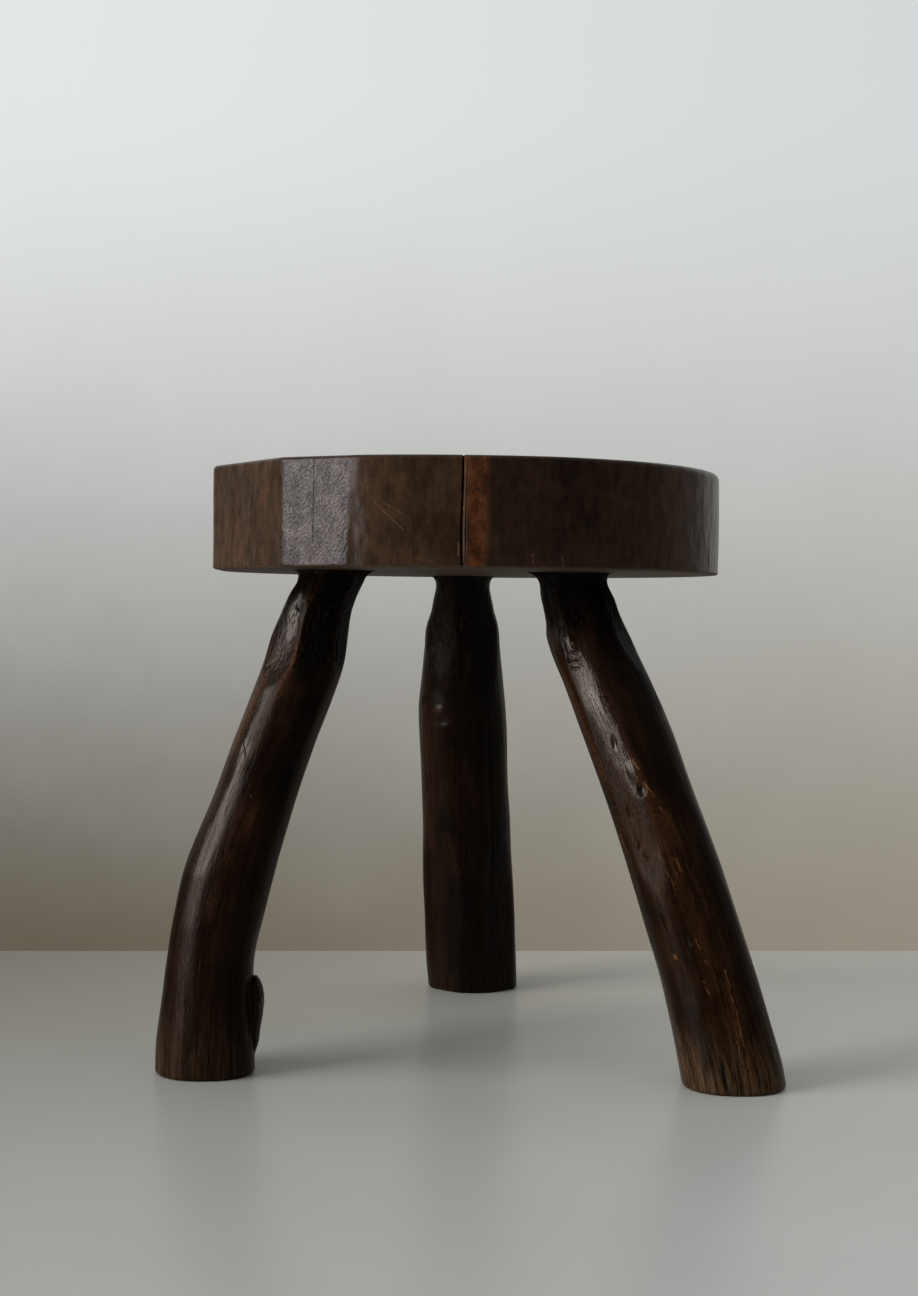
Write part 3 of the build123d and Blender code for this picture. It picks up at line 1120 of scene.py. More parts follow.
@dataclass(frozen=True)
class Gouging:
    """A patch covered in small scoops of a tool."""

    low: float
    high: float
    bearing: float
    spread: float
    count: int
    depth: float


def rows(kind: Callable[..., Any], *table: tuple) -> tuple:
    """One thing of a kind for each row of a table."""
    return tuple(kind(*row) for row in table)


class Side(Enum):
    """Which leg a leg is."""

    LEFT = "front_left"
    RIGHT = "front_right"
    BACK = "back"


# Shares of the reach and turns of an edge in degrees, of the rings at a leg's two ends.
SOLE_SHARES = (0.1, 0.35, 0.6, 0.8, 0.93, 1.0)
SOLE_TURNS = (20, 40, 60, 78)
END_SHARES = (0.97, 0.9, 0.78, 0.62, 0.45, 0.28, 0.12)
WEDGE_SHARES = (1.0, 0.96, 0.8, 0.6, 0.4, 0.2)
TENON_ROWS = 9
TENON_START = 0.12  # share of the tenon's length at its first ring
WEDGE_ROWS = 12
WEDGE_COLUMNS = 72
MORTISE_COLUMNS = 144
BLUR_STEPS = (1, 2, 3, 4)  # columns over which the reach is blurred, in turn
LEAST_FACING = 0.2  # a flat is worked out only where the cosine off its bearing is more


@dataclass
class Leg:
    """A branch leg from its worn sole to the sawn end of its tenon in the top of the seat."""

    side: Side
    stations: tuple[Station, ...]
    head: tuple[float, float]  # where the tenon's axis passes the seat's underside
    lean: tuple[float, float]  # the tenon's, along X and Y for each millimetre of height
    tone: float  # how light its wood is; for the back leg also painted shade, for the seat's shadow and its distance from the light
    foot_dust: float  # how much bare, dusty grain shows at the foot
    coarseness: float  # of its film, as a roughness
    tenon_radius: float
    seed: int
    rough_low: float  # the neck is rough from here up
    flats: tuple[Flat, ...]
    dents: tuple[Dent, ...]
    tears: tuple[Tear, ...]
    gouging: tuple[Gouging, ...]
    marks: Marks
    squareness: float = 2.2
    foot_wear: float = 2.0
    fray: float = 1.1  # how far torn fibres stand out all round, under the seat
    fray_drop: float = 1.6  # and over what height they fade
    seat_overlap: float = 0.25  # how far the shoulder is let into the seat
    end_proud: float = 0.15  # how far the sawn end stands above the top
    mortise_clearance: float = 0.15
    mortise_margin: float = 10.0  # how far the hole's cutter runs past both faces
    wedge_thickness: float = 7.0
    wedge_tip: float = 1.5
    wedge_depth: float = 44.0
    wedge_proud: float = 0.22
    wedge_oblong: float = 0.22  # power of a sine and a cosine: near 0 gives an oblong, 1 an oval
    wedge_inset: float = 0.35  # how far its narrow sides stay inside the tenon's round
    wedge_straight: float = 2.0  # how far below the top its straight rings end
    wedge_wear: float = 0.8  # share of the seat's dish by which its top is worn down
    kerf_clearance: float = 0.1
    kerf_reach: float = 30.0  # how far the saw cut's cutter runs past the tenon's axis
    kerf_top: float = 14.0  # and above the top
    columns: int = 216
    shank_rows: int = 380
    fields: dict[str, Array] = field(default_factory=dict)

    def __post_init__(self) -> None:
        """Draws the smooth curves through the stations."""
        heights, *tracks = zip(*(astuple(station) for station in self.stations))
        self._x, self._y, self._width, self._depth = (Track(heights, values) for values in tracks)
        self._noise = Noise(self.seed)
        self.mean_radius = float(np.mean(tracks[2])) / 2

    @property
    def underside(self) -> float:
        """The height of the seat's underside."""
        return self.stations[-1].height

    def middle(self, heights: Array) -> tuple[Array, Array]:
        """X and Y of the branch's middle."""
        return self._x(heights), self._y(heights)

    def smooth_reach(self, heights: Array, bearings: Array) -> Array:
        """The branch's own reach from its middle: a slightly square oval.

        That is one over the root of the sum of two powers: the direction's X over half the width,
        and its Y over half the depth.

        Args:
            heights: where along the branch.
            bearings: and on which side, of a shape that goes with the heights.

        Returns:
            One distance for each height and bearing together.
        """
        across_x, across_y = heading(bearings)
        power = self.squareness
        wide = np.abs(across_x) / (self._width(heights) / 2)
        deep = np.abs(across_y) / (self._depth(heights) / 2)
        return (wide**power + deep**power) ** (-1 / power)

    def _hewn(self, reach: Array, heights: Array, bearings: Array) -> Array:
        """The reach after its flats are cut: the least of it and each plane, edges softened.

        A plane's reach grows as one over the cosine of the angle off its own bearing.

        Args:
            reach: the branch's own.
            heights: as for smooth_reach.
            bearings: as for smooth_reach.

        Returns:
            The reach that is left.
        """
        for flat in self.flats:
            facing = np.cos(np.radians(turned_from(bearings, flat.bearing)))
            level = Track(*zip(*flat.stations))(heights)
            plane = level / np.maximum(facing, LEAST_FACING)
            plane = np.where(facing > LEAST_FACING, plane, reach + 9)
            gap = np.clip((plane - reach) / flat.softness, -30, 30)
            reach = reach - flat.softness * np.log1p(np.exp(-gap))
        return reach

    def _bowl(self, dent: Dent, heights: Array, bearings: Array) -> Array:
        """A dent's shape: one less the squared distance from its middle, in its own oval.

        Args:
            dent: the dent.
            heights: as for smooth_reach.
            bearings: as for smooth_reach.

        Returns:
            1 in its middle, 0 on its rim and less outside.
        """
        up = heights - dent.height
        across = np.radians(turned_from(bearings, dent.bearing)) * self.mean_radius
        turn = np.radians(dent.lean)
        along = (up * np.cos(turn) + across * np.sin(turn)) / (dent.length / 2)
        beside = (across * np.cos(turn) - up * np.sin(turn)) / (dent.width / 2)
        return 1 - along**2 - beside**2

    def _dented(self, heights: Array, bearings: Array) -> Array:
        """How deep the dents are, added up, each with a softened rim.

        Args:
            heights: as for smooth_reach.
            bearings: as for smooth_reach.

        Returns:
            Their depth.
        """
        total = 0.0
        for dent in self.dents:
            total = total + dent.depth * np.clip(self._bowl(dent, heights, bearings), 0, 1) ** 1.3
        return total

    def _scooped(self, heights: Array, bearings: Array) -> Array:
        """How deep the tool's scoops are: many small dents, the deepest at each place.

        Args:
            heights: as for smooth_reach.
            bearings: as for smooth_reach.

        Returns:
            Their depth.
        """
        total = np.zeros(np.broadcast(heights, bearings).shape)
        draw = np.random.default_rng(self.seed + 1)
        for patch in self.gouging:
            for _ in range(patch.count):
                scoop = Dent(
                    height=draw.uniform(patch.low, patch.high),
                    bearing=patch.bearing + draw.uniform(-patch.spread, patch.spread),
                    length=draw.uniform(3.5, 8),
                    width=draw.uniform(2.2, 4.2),
                    depth=patch.depth * draw.uniform(0.4, 1.0),
                    lean=draw.normal(0, 38),
                )
                total = np.maximum(total, scoop.depth * self._bowl(scoop, heights, bearings))
        return total

    def _torn(self, heights: Array, bearings: Array) -> Array:
        """How far torn fibres stand out: they fade downwards from the seat over their drop.

        Args:
            heights: as for smooth_reach.
            bearings: as for smooth_reach.

        Returns:
            Their reach beyond the branch.
        """
        below = self.underside - heights
        place = ring_at(ORIGIN, bearings, 9.0, heights / 7)
        ragged = np.clip(0.85 + 0.9 * self._noise.layered(place + 3.0, 3), 0.3, 2.2)
        total = self.fray * ragged * np.exp(-below / self.fray_drop)
        for tear in self.tears:
            turn = turned_from(bearings, tear.bearing) / tear.spread
            total = total + tear.reach * ragged * np.exp(-(turn**2)) * np.exp(-below / tear.drop)
        return total

    def reach(self, heights: Array, bearings: Array) -> Array:
        """The finished reach of the branch from its middle, with every mark of hand and growth.

        Args:
            heights: a column of heights, one for each row of the grid.
            bearings: a row of bearings, one for each of its columns.

        Returns:
            The grid's reach. Its roughness and proud edges are kept in fields.
        """
        smooth = self._hewn(self.smooth_reach(heights, bearings), heights, bearings)
        points = ring_at(ORIGIN, bearings, self.mean_radius, heights)
        rough = self._roughness(heights, bearings)
        lumps = self._noise.at(points / (21, 21, 55)) * 0.55
        ripples = self._noise.layered(points / (7, 7, 34) + 4.0, 2) * 0.20
        fibres = self._noise.layered(points / (1.6, 1.6, 9) + 8.0, 2)
        worked = smooth + lumps + ripples + fibres * (0.04 + 0.12 * rough)
        worked = worked - self._dented(heights, bearings) - self._scooped(heights, bearings)
        self.fields["rough"] = rough
        self.fields["proud"] = self._proud(worked)
        return worked + self._torn(heights, bearings)

    def _roughness(self, heights: Array, bearings: Array) -> Array:
        """Where the surface is rough: the neck, and each gouged patch.

        Args:
            heights: as for reach.
            bearings: as for reach.

        Returns:
            The grid's roughness, from 0 to 1.
        """
        rough = ease(heights, self.rough_low, self.rough_low + 18) * np.ones(bearings.shape)
        for patch in self.gouging:
            up = ease(heights, patch.low - 6, patch.low + 6) * ease(heights, patch.high + 8, patch.high)
            turn = np.abs(turned_from(bearings, patch.bearing))
            rough = np.maximum(rough, up * ease(turn, patch.spread + 8, patch.spread - 6))
        return rough

    def _proud(self, worked: Array) -> Array:
        """How far each place stands above those beside it: its reach less a blur of it.

        Args:
            worked: the grid's reach.

        Returns:
            0 where it is level or hollow, to 1 on the proudest edges.
        """
        blurred = worked
        for step in BLUR_STEPS:
            sides = np.roll(blurred, step, axis=1) + np.roll(blurred, -step, axis=1)
            blurred = (2 * blurred + sides) / 4
        return np.clip((worked - blurred) / 0.22, 0, 1)

    def _axis(self, heights: Array) -> tuple[Array, Array]:
        """The tenon's axis at a height."""
        up = heights - self.underside
        return self.head[0] + up * self.lean[0], self.head[1] + up * self.lean[1]

    def _tenon_ring(self, heights: Array, bearings: Array, clearance: float = 0.0) -> Array:
        """A level cut through the slanted round tenon, or through its hole.

        Its reach is the radius over the sine of the angle between that direction and the axis.

        Args:
            heights: the cut's height, or that of each of its points.
            bearings: the direction of each point.
            clearance: how much wider the hole is than the tenon, on each side.

        Returns:
            One point for each bearing.
        """
        across_x, across_y = heading(bearings)
        length = np.sqrt(1 + self.lean[0] ** 2 + self.lean[1] ** 2)
        along = (across_x * self.lean[0] + across_y * self.lean[1]) / length
        reach = (self.tenon_radius + clearance) / np.sqrt(1 - along**2)
        return ring_at(self._axis(heights), bearings, reach, heights)

    def _column_density(self, bearings: Array) -> Array:
        """Columns lie closer together on the side that faces the front."""
        return 1 + 0.9 * ease(np.cos(np.radians(bearings - FRONT)), -0.3, 0.2)

    def _row_density(self, heights: Array) -> Array:
        """Rows lie closer together on the neck and, less so, at the foot."""
        return 1 + 0.9 * ease(heights, 215, 235) + 0.35 * ease(heights, 70, 50)

    def shell(self, seat: Seat) -> Shell:
        """The whole leg in rings: sole, worn edge, shank, shoulder, tenon and its sawn end.

        Args:
            seat: the seat that the tenon ends in.

        Returns:
            The surface, without its kerf.
        """
        bearings = all_round(self.columns, self._column_density)
        heights = spread(self.shank_rows, self.foot_wear, self.underside, self._row_density)
        self.fields["heights"], self.fields["bearings"] = heights, bearings
        level = heights[:, None]
        shank = ring_at(self.middle(level), bearings, self.reach(level, bearings[None, :]), level)
        sole = np.array([*self.middle(0.0), 0.0])
        shoulder = self.underside + self.seat_overlap
        last = shank[-1].copy()
        last[:, 2] = shoulder
        inner = self._tenon_ring(shoulder, bearings)
        end = self._end_ring(seat, bearings)
        shares = np.linspace(TENON_START, 1, TENON_ROWS)
        tenon = [inner + (end - inner) * share for share in shares]
        pole = self._end_middle(seat)
        neck = [last, (last + inner) / 2, inner]
        rings = self._sole(sole, shank[0]) + list(shank) + neck + tenon + self._end(seat, end, pole)
        return Shell(np.stack(rings), sole, pole)

    def _sole(self, middle: Array, first: Array) -> list[Array]:
        """The sole and its worn edge: a quarter round under the shank's first ring.

        Args:
            middle: the middle of the sole.
            first: the shank's first ring.

        Returns:
            Rings from the middle of the sole up to the shank.
        """
        out = first - middle
        out[:, 2] = 0
        length = np.linalg.norm(out, axis=1, keepdims=True)
        unit = out / length
        rings = [middle + unit * share * (length - self.foot_wear) for share in SOLE_SHARES]
        for turn in np.radians(SOLE_TURNS):
            ring = middle + unit * (length - self.foot_wear * (1 - np.sin(turn)))
            ring[:, 2] = self.foot_wear * (1 - np.cos(turn))
            rings.append(ring)
        return rings

    def _end_ring(self, seat: Seat, bearings: Array) -> Array:
        """Where the tenon's side meets the dished top of the seat, found by three steps.

        Args:
            seat: the seat.
            bearings: the direction of each point.

        Returns:
            One point for each bearing.
        """
        height = np.full(bearings.shape, seat.top)
        for _ in range(3):
            ring = self._tenon_ring(height, bearings)
            height = seat.surface(ring[:, 0], ring[:, 1])
        ring[:, 2] = height
        return ring

    def _end_middle(self, seat: Seat) -> Array:
        """The middle of the sawn end."""
        x, y = self._axis(seat.top - seat.dish / 2)
        return np.array([x, y, seat.surface(x, y) + self.end_proud])

    def _end(self, seat: Seat, end: Array, pole: Array) -> list[Array]:
        """The sawn end, which stands a hair proud of the seat: rings closing on its middle.

        Args:
            seat: the seat.
            end: the ring where the tenon's side meets its top.
            pole: the middle of the sawn end.

        Returns:
            The rings.
        """
        rings = []
        for share in END_SHARES:
            ring = pole + (end - pole) * share
            ring[:, 2] = seat.surface(ring[:, 0], ring[:, 1]) + self.end_proud * ease(share, 1.0, 0.9)
            ring[:, 2] += 0.08 * self._noise.at(ring / 3.1)
            rings.append(ring)
        return rings

    def mortise(self, seat: Seat) -> Shell:
        """The slanted round hole for the tenon, run past both faces of the seat.

        Args:
            seat: the seat.

        Returns:
            The surface that cuts it.
        """
        bearings = np.linspace(0, 360, MORTISE_COLUMNS, endpoint=False) + BACK_SEAM
        ends = (seat.underside - self.mortise_margin, seat.top + self.mortise_margin)
        rings = [self._tenon_ring(height, bearings, self.mortise_clearance) for height in ends]
        return Shell(np.stack(rings), *((*self._axis(height), height) for height in ends))

    def _wedge_frame(self, seat: Seat) -> tuple[Array, Array, Array, Array]:
        """Where the wedge stands and how it is turned.

        It lies across the line from the seat's middle, so that driving it doesn't split the slab.

        Args:
            seat: the seat.

        Returns:
            The middle of its top, and three unit directions: up it, along its width and through
            its thickness.
        """
        up = np.array([*self.lean, 1.0])
        up /= np.linalg.norm(up)
        middle = np.array([*self._axis(seat.top), seat.top])
        out = middle - (*seat.middle, seat.top)
        across = np.cross([0.0, 0.0, 1.0], out / np.linalg.norm(out))
        across -= up * (across @ up)
        across /= np.linalg.norm(across)
        return middle, up, across, np.cross(up, across)

    def _half_thickness(self, height: float) -> float:
        """Half the wedge's thickness at a height along it, measured from the top."""
        slope = (self.wedge_thickness - self.wedge_tip) / 2 / self.wedge_depth
        return self.wedge_thickness / 2 + slope * height

    def kerf(self, seat: Seat) -> Shell:
        """The saw cut for the wedge: a taper of four-sided rings.

        Args:
            seat: the seat.

        Returns:
            The surface that cuts it.
        """
        middle, up, across, thick = self._wedge_frame(seat)
        sides = self.kerf_reach * np.array([-1, 1, 1, -1])
        rings, poles = [], []
        for height in (-self.wedge_depth - self.kerf_clearance, self.kerf_top):
            half = self._half_thickness(height) + self.kerf_clearance
            poles.append(middle + up * height)
            faces = half * np.array([-1, -1, 1, 1])
            rings.append(poles[-1] + np.outer(sides, across) + np.outer(faces, thick))
        return Shell(np.array(rings), *poles)

    def wedge(self, seat: Seat) -> Shell:
        """The wedge as driven: rounded oblong rings up the taper, its top worn to the seat's.

        Args:
            seat: the seat.

        Returns:
            The surface.
        """
        middle, up, across, thick = self._wedge_frame(seat)
        turns = np.linspace(0, 2 * np.pi, WEDGE_COLUMNS, endpoint=False)
        parts = (np.cos(turns), np.sin(turns))
        side, face = (np.sign(part) * np.abs(part) ** self.wedge_oblong for part in parts)
        half_length = np.sqrt(self.tenon_radius**2 - (self.wedge_thickness / 2) ** 2)
        length = np.outer(side * (half_length - self.wedge_inset), across)
        rings = []
        for height in np.linspace(-self.wedge_depth, -self.wedge_straight, WEDGE_ROWS):
            offset = length + np.outer(face * self._half_thickness(height), thick)
            rings.append(middle + up * height + offset)
        offset = length + np.outer(face * self._half_thickness(-seat.dish), thick)
        worn = middle - up * seat.dish * self.wedge_wear
        for share in WEDGE_SHARES:
            ring = worn + offset * share
            proud = self.wedge_proud * ease(share, 1.0, 0.9)
            ring[:, 2] = seat.surface(ring[:, 0], ring[:, 1]) + proud
            rings.append(ring)
        worn[2] = seat.surface(worn[0], worn[1]) + self.wedge_proud
        return Shell(np.stack(rings), middle - up * self.wedge_depth, worn)

    def _looked_up(self, name: str, heights: Array, bearings: Array) -> Array:
        """A field of the shank's grid at any place, straight between its four nearest points.

        Args:
            name: the field's name.
            heights: one for each place.
            bearings: the same.

        Returns:
            One value for each place.
        """
        levels, columns, grid = (self.fields[key] for key in ("heights", "bearings", name))
        up = np.interp(heights, levels, np.arange(len(levels)))
        turn = (bearings - BACK_SEAM) % 360 + BACK_SEAM
        closed = np.append(columns, BACK_SEAM + 360)
        side = np.interp(turn, closed, np.arange(len(closed)))
        row = np.minimum(up.astype(int), len(levels) - 2)
        column = np.minimum(side.astype(int), len(columns) - 1)
        beside = (column + 1) % len(columns)
        up, side = up - row, side - column
        low = grid[row, column] * (1 - side) + grid[row, beside] * side
        high = grid[row + 1, column] * (1 - side) + grid[row + 1, beside] * side
        return low * (1 - up) + high * up

    def build(self, seat: Seat) -> None:
        """Makes the leg and its wedge, marks and dresses them.

        Args:
            seat: the seat.
        """
        name = self.side.value
        piece = Piece(f"{name}_leg", self.shell(seat))
        if self.side is Side.LEFT:
            piece.cut(Piece("stub", Stub(self).shell()), "UNION")
        piece.cut(Piece("kerf", self.kerf(seat)))
        x, y, z = piece.points().T
        from_x, from_y = x - self._x(z), y - self._y(z)
        bearings = np.degrees(np.arctan2(from_y, from_x)) % 360
        piece.mark("along", np.stack([from_x, from_y, z], axis=-1))
        piece.mark("rough", self._looked_up("rough", z, bearings))
        piece.mark("proud", self._looked_up("proud", z, bearings) * (z < self.underside))
        piece.mark("ends", ease(z - seat.surface(x, y), -1.2, -0.6))
        pith_x, pith_y = self._axis(z)
        piece.mark("end", np.stack([x - pith_x + 2.0, y - pith_y - 1.5, 0 * z], axis=-1))
        piece.dress(LegFinish(LEG_WOOD, self).material(), f"leg_{name}")
        wedge = Piece(f"{name}_wedge", self.wedge(seat))
        wedge.dress(WedgeFinish(SEAT_WOOD).material(), f"wedge_{name}")


@dataclass
class Stub:
    """The healed collar of a lost side branch: a lip that stands off the inner side of a foot."""

    leg: Leg
    tip: float = 56.5
    length: float = 50.0
    width: float = 9.0
    depth: float = 21.0
    bearing: float = 2.0
    bumps: tuple[float, float] = (0.35, 0.5)  # their height along X and Y
    levels: int = 70
    columns: int = 96
    noise: Noise = field(default_factory=lambda: Noise(61))
    # Share of the length, how far its middle lies outside the shank's side, and its size.
    stations: tuple[tuple[float, float, float], ...] = (
        (0.00, -4.2, 0.60),
        (0.18, -1.8, 0.80),
        (0.40, -0.6, 0.88),
        (0.62, 0.7, 0.96),
        (0.80, 1.2, 0.92),
        (0.92, 1.0, 0.70),
        (0.985, 0.7, 0.36),
    )

    def shell(self) -> Shell:
        """The lip in level rings: ovals whose middle and size follow the stations.

        Returns:
            The surface.
        """
        shares, outs, sizes = zip(*self.stations)
        out, size = Track(shares, outs), Track(shares, sizes)
        level_x, level_y = heading(np.linspace(0, 360, self.columns, endpoint=False))
        rings = []
        for share in np.linspace(0, shares[-1], self.levels):
            height = self.tip - self.length * (1 - share)
            side = self.leg.smooth_reach(height, self.bearing) + out(share)
            middle = ring_at(self.leg.middle(height), self.bearing, side, height)
            oval = np.outer(level_x, (self.width / 2, 0, 0)) + np.outer(level_y, (0, self.depth / 2, 0))
            ring = middle + oval * size(share)
            bumps = self.noise.layered(ring / (5.0, 5.0, 9.0), 2)
            ring[:, 0] += self.bumps[0] * bumps * level_x
            ring[:, 1] += self.bumps[1] * bumps * level_y
            rings.append(ring)
        low, high = rings[0].mean(axis=0), rings[-1].mean(axis=0)
        high[2] = self.tip
        return Shell(np.stack(rings), low, high)


# ---- The stool's own sizes and marks ------------------------------------------------------------
RIM_MARKS = marks_on(
    Seat.radius,
    cracks=(
        (357, 237.7, 309, 237.9, 0.32, 0.7), (338, 249.4, 331, 249.4, 0.30, 0.7),
        (328, 257.9, 315, 257.9, 0.35, 0.8), (340, 303.6, 316, 304.0, 0.35, 0.9),
        (316, 304.0, 314, 309.5, 0.40, 0.9), (352, 341.8, 349, 340.9, 0.6, 0.9),
        (326, 335.5, 322, 335.5, 0.7, 0.9), (309, 335.5, 304.5, 335.4, 0.7, 0.9),
        (325, 352.7, 318, 352.7, 0.9, 0.9), (318, 228.6, 301, 228.2, 0.8, 0.8),
        (354, 270.15, 332, 269.95, 0.45, 0.8), (332, 269.95, 299, 269.85, 0.55, 0.9),
    ),
    scratches=(
        # The lines at bearings 269.45 to 269.8 are a painted highlight: the lit lip beside the check.
        (331.7, 251.3, 316.5, 257.2, 0.38, 0.40), (330.5, 253.9, 323.9, 257.8, 0.34, 0.30),
        (334.5, 252.0, 328.5, 254.6, 0.30, 0.25), (354, 269.80, 332, 269.55, 0.50, 0.55),
        (332, 269.55, 315, 269.45, 0.55, 0.60), (315, 269.45, 299, 269.55, 0.60, 0.60),
        (309, 268.45, 302, 268.45, 0.60, 0.45),
    ),
    rubbed=(
        (303.5, 283.4, 297, 283.8, 0.8, 0.7), (300, 284.6, 296.5, 285.9, 0.7, 0.7),
        (303, 289.8, 296.5, 290.3, 0.7, 0.6), (298.5, 308.7, 296.6, 308.8, 1.2, 0.7),
        (333, 230.3, 329, 230.6, 1.0, 0.5), (301, 260.0, 298.5, 263.0, 1.4, 0.3),
    ),
)


def left_leg() -> Leg:
    """The front left leg, with an elbow low down and a healed stub at its foot.

    Returns:
        The leg.
    """
    marks = marks_on(
        radius=25.2,
        cracks=(
            (201, 227, 192, 232, 0.45, 0.9), (192, 232, 185, 241, 0.45, 0.8),
            (54, 334, 40, 336, 1.3, 0.95), (40, 336, 22, 338, 0.9, 0.9),
            (236, 262, 212, 260, 0.30, 0.5),
        ),
        scratches=(
            (163.4, 266.5, 162.2, 269.5, 0.7, 1.0), (131, 268, 124, 266, 0.35, 0.5),
            (70, 263, 58, 262, 0.35, 0.3),
        ),
        rubbed=(
            # The wide stroke from 230 down to 192 lightens the left flank: rubbed wood and, in part, a
            # painted sheen.
            (251, 259, 240, 258, 1.1, 0.9), (238, 257, 224, 252, 0.6, 0.45),
            (224, 210, 212, 209, 0.8, 0.5), (230, 216, 192, 208, 6.0, 0.30),
            (205, 250, 193, 252, 0.5, 0.35),
        ),
        warm=(
            (252, 259, 222, 255, 5.0, 0.9), (242, 213, 190, 206, 11.0, 0.9),
            (190, 206, 150, 208, 8.0, 0.5), (66, 238, 14, 236, 9.0, 0.3),
        ),
        sooty=(
            (290, 288, 240, 292, 15.0, 1.0), (294, 334, 244, 338, 14.0, 1.0),
            (240, 300, 150, 308, 13.0, 0.7), (290, 225, 285, 235, 9.0, 0.6),
            (140, 300, 20, 300, 15.0, 0.5),
        ),
        handled=(
            (284, 233, 258, 236, 8.0, 0.85), (258, 232, 240, 228, 10.0, 0.4),
            (240, 224, 190, 224, 12.0, 0.32), (190, 227, 122, 229, 11.0, 0.66),
            (122, 229, 92, 231, 9.0, 0.25),
        ),
    )
    return Leg(
        side=Side.LEFT,
        stations=rows(
            Station,
            (0.0, -154.4, -121.0, 57.8, 56.0), (15.5, -154.2, -120.6, 57.7, 56.0),
            (36.0, -153.3, -120.0, 55.5, 54.6), (64.0, -152.1, -118.5, 51.4, 53.0),
            (92.0, -147.3, -116.0, 52.7, 52.0), (120.0, -141.1, -112.2, 53.4, 52.5),
            (134.0, -136.8, -110.1, 52.4, 52.2), (162.0, -127.4, -105.5, 49.0, 50.5),
            (191.0, -117.6, -100.4, 48.6, 49.5), (220.0, -107.2, -94.9, 48.9, 49.0),
            (241.0, -100.7, -90.8, 48.1, 48.0), (256.0, -97.7, -87.8, 45.8, 45.5),
            (270.0, -93.9, -84.9, 42.0, 42.5), (280.0, -90.2, -82.9, 40.9, 40.5),
            (289.0, -85.9, -80.9, 39.3, 39.5), (295.5, -84.5, -79.7, 39.0, 39.0),
        ),
        head=(-85.0, -79.7),
        lean=(0.337, 0.194),
        tone=0.85,
        foot_dust=0.35,
        coarseness=0.25,
        tenon_radius=16.25,
        seed=101,
        rough_low=272.0,
        flats=rows(
            Flat,
            (232, ((206, 34.0), (226, 25.0), (246, 20.1), (284, 19.7), (296, 18.9)), 0.3),
            (287, ((190, 34.0), (214, 27.0), (246, 20.3), (262, 18.8), (296, 18.2)), 0.3),
            (338, ((200, 36.0), (222, 28.0), (262, 20.2), (296, 18.7))),
            (95, ((200, 36.0), (226, 28.0), (266, 19.6), (296, 18.7))),
            (38, ((200, 36.0), (232, 27.0), (268, 20.2), (296, 18.9))),
        ),
        dents=rows(
            Dent,
            (272, 352, 7.0, 16.0, 0.9),
            (282, 230, 9.0, 7.0, -1.1),
            (274, 236, 7.0, 10.0, 0.7, 40),
            (178, 237, 24.0, 12.0, -0.6),
            (158, 231, 30.0, 12.0, -0.6),
            (193, 234, 20.0, 4.0, 0.25, 12),
            (40, 335, 40.0, 6.5, 1.9),
        ),
        tears=rows(Tear, (180, 22, 2.2, 2.2), (352, 26, 4.2, 2.4)),
        gouging=rows(Gouging, (242, 288, 292, 34, 260, 0.70), (234, 276, 224, 26, 110, 0.32)),
        marks=marks,
    )


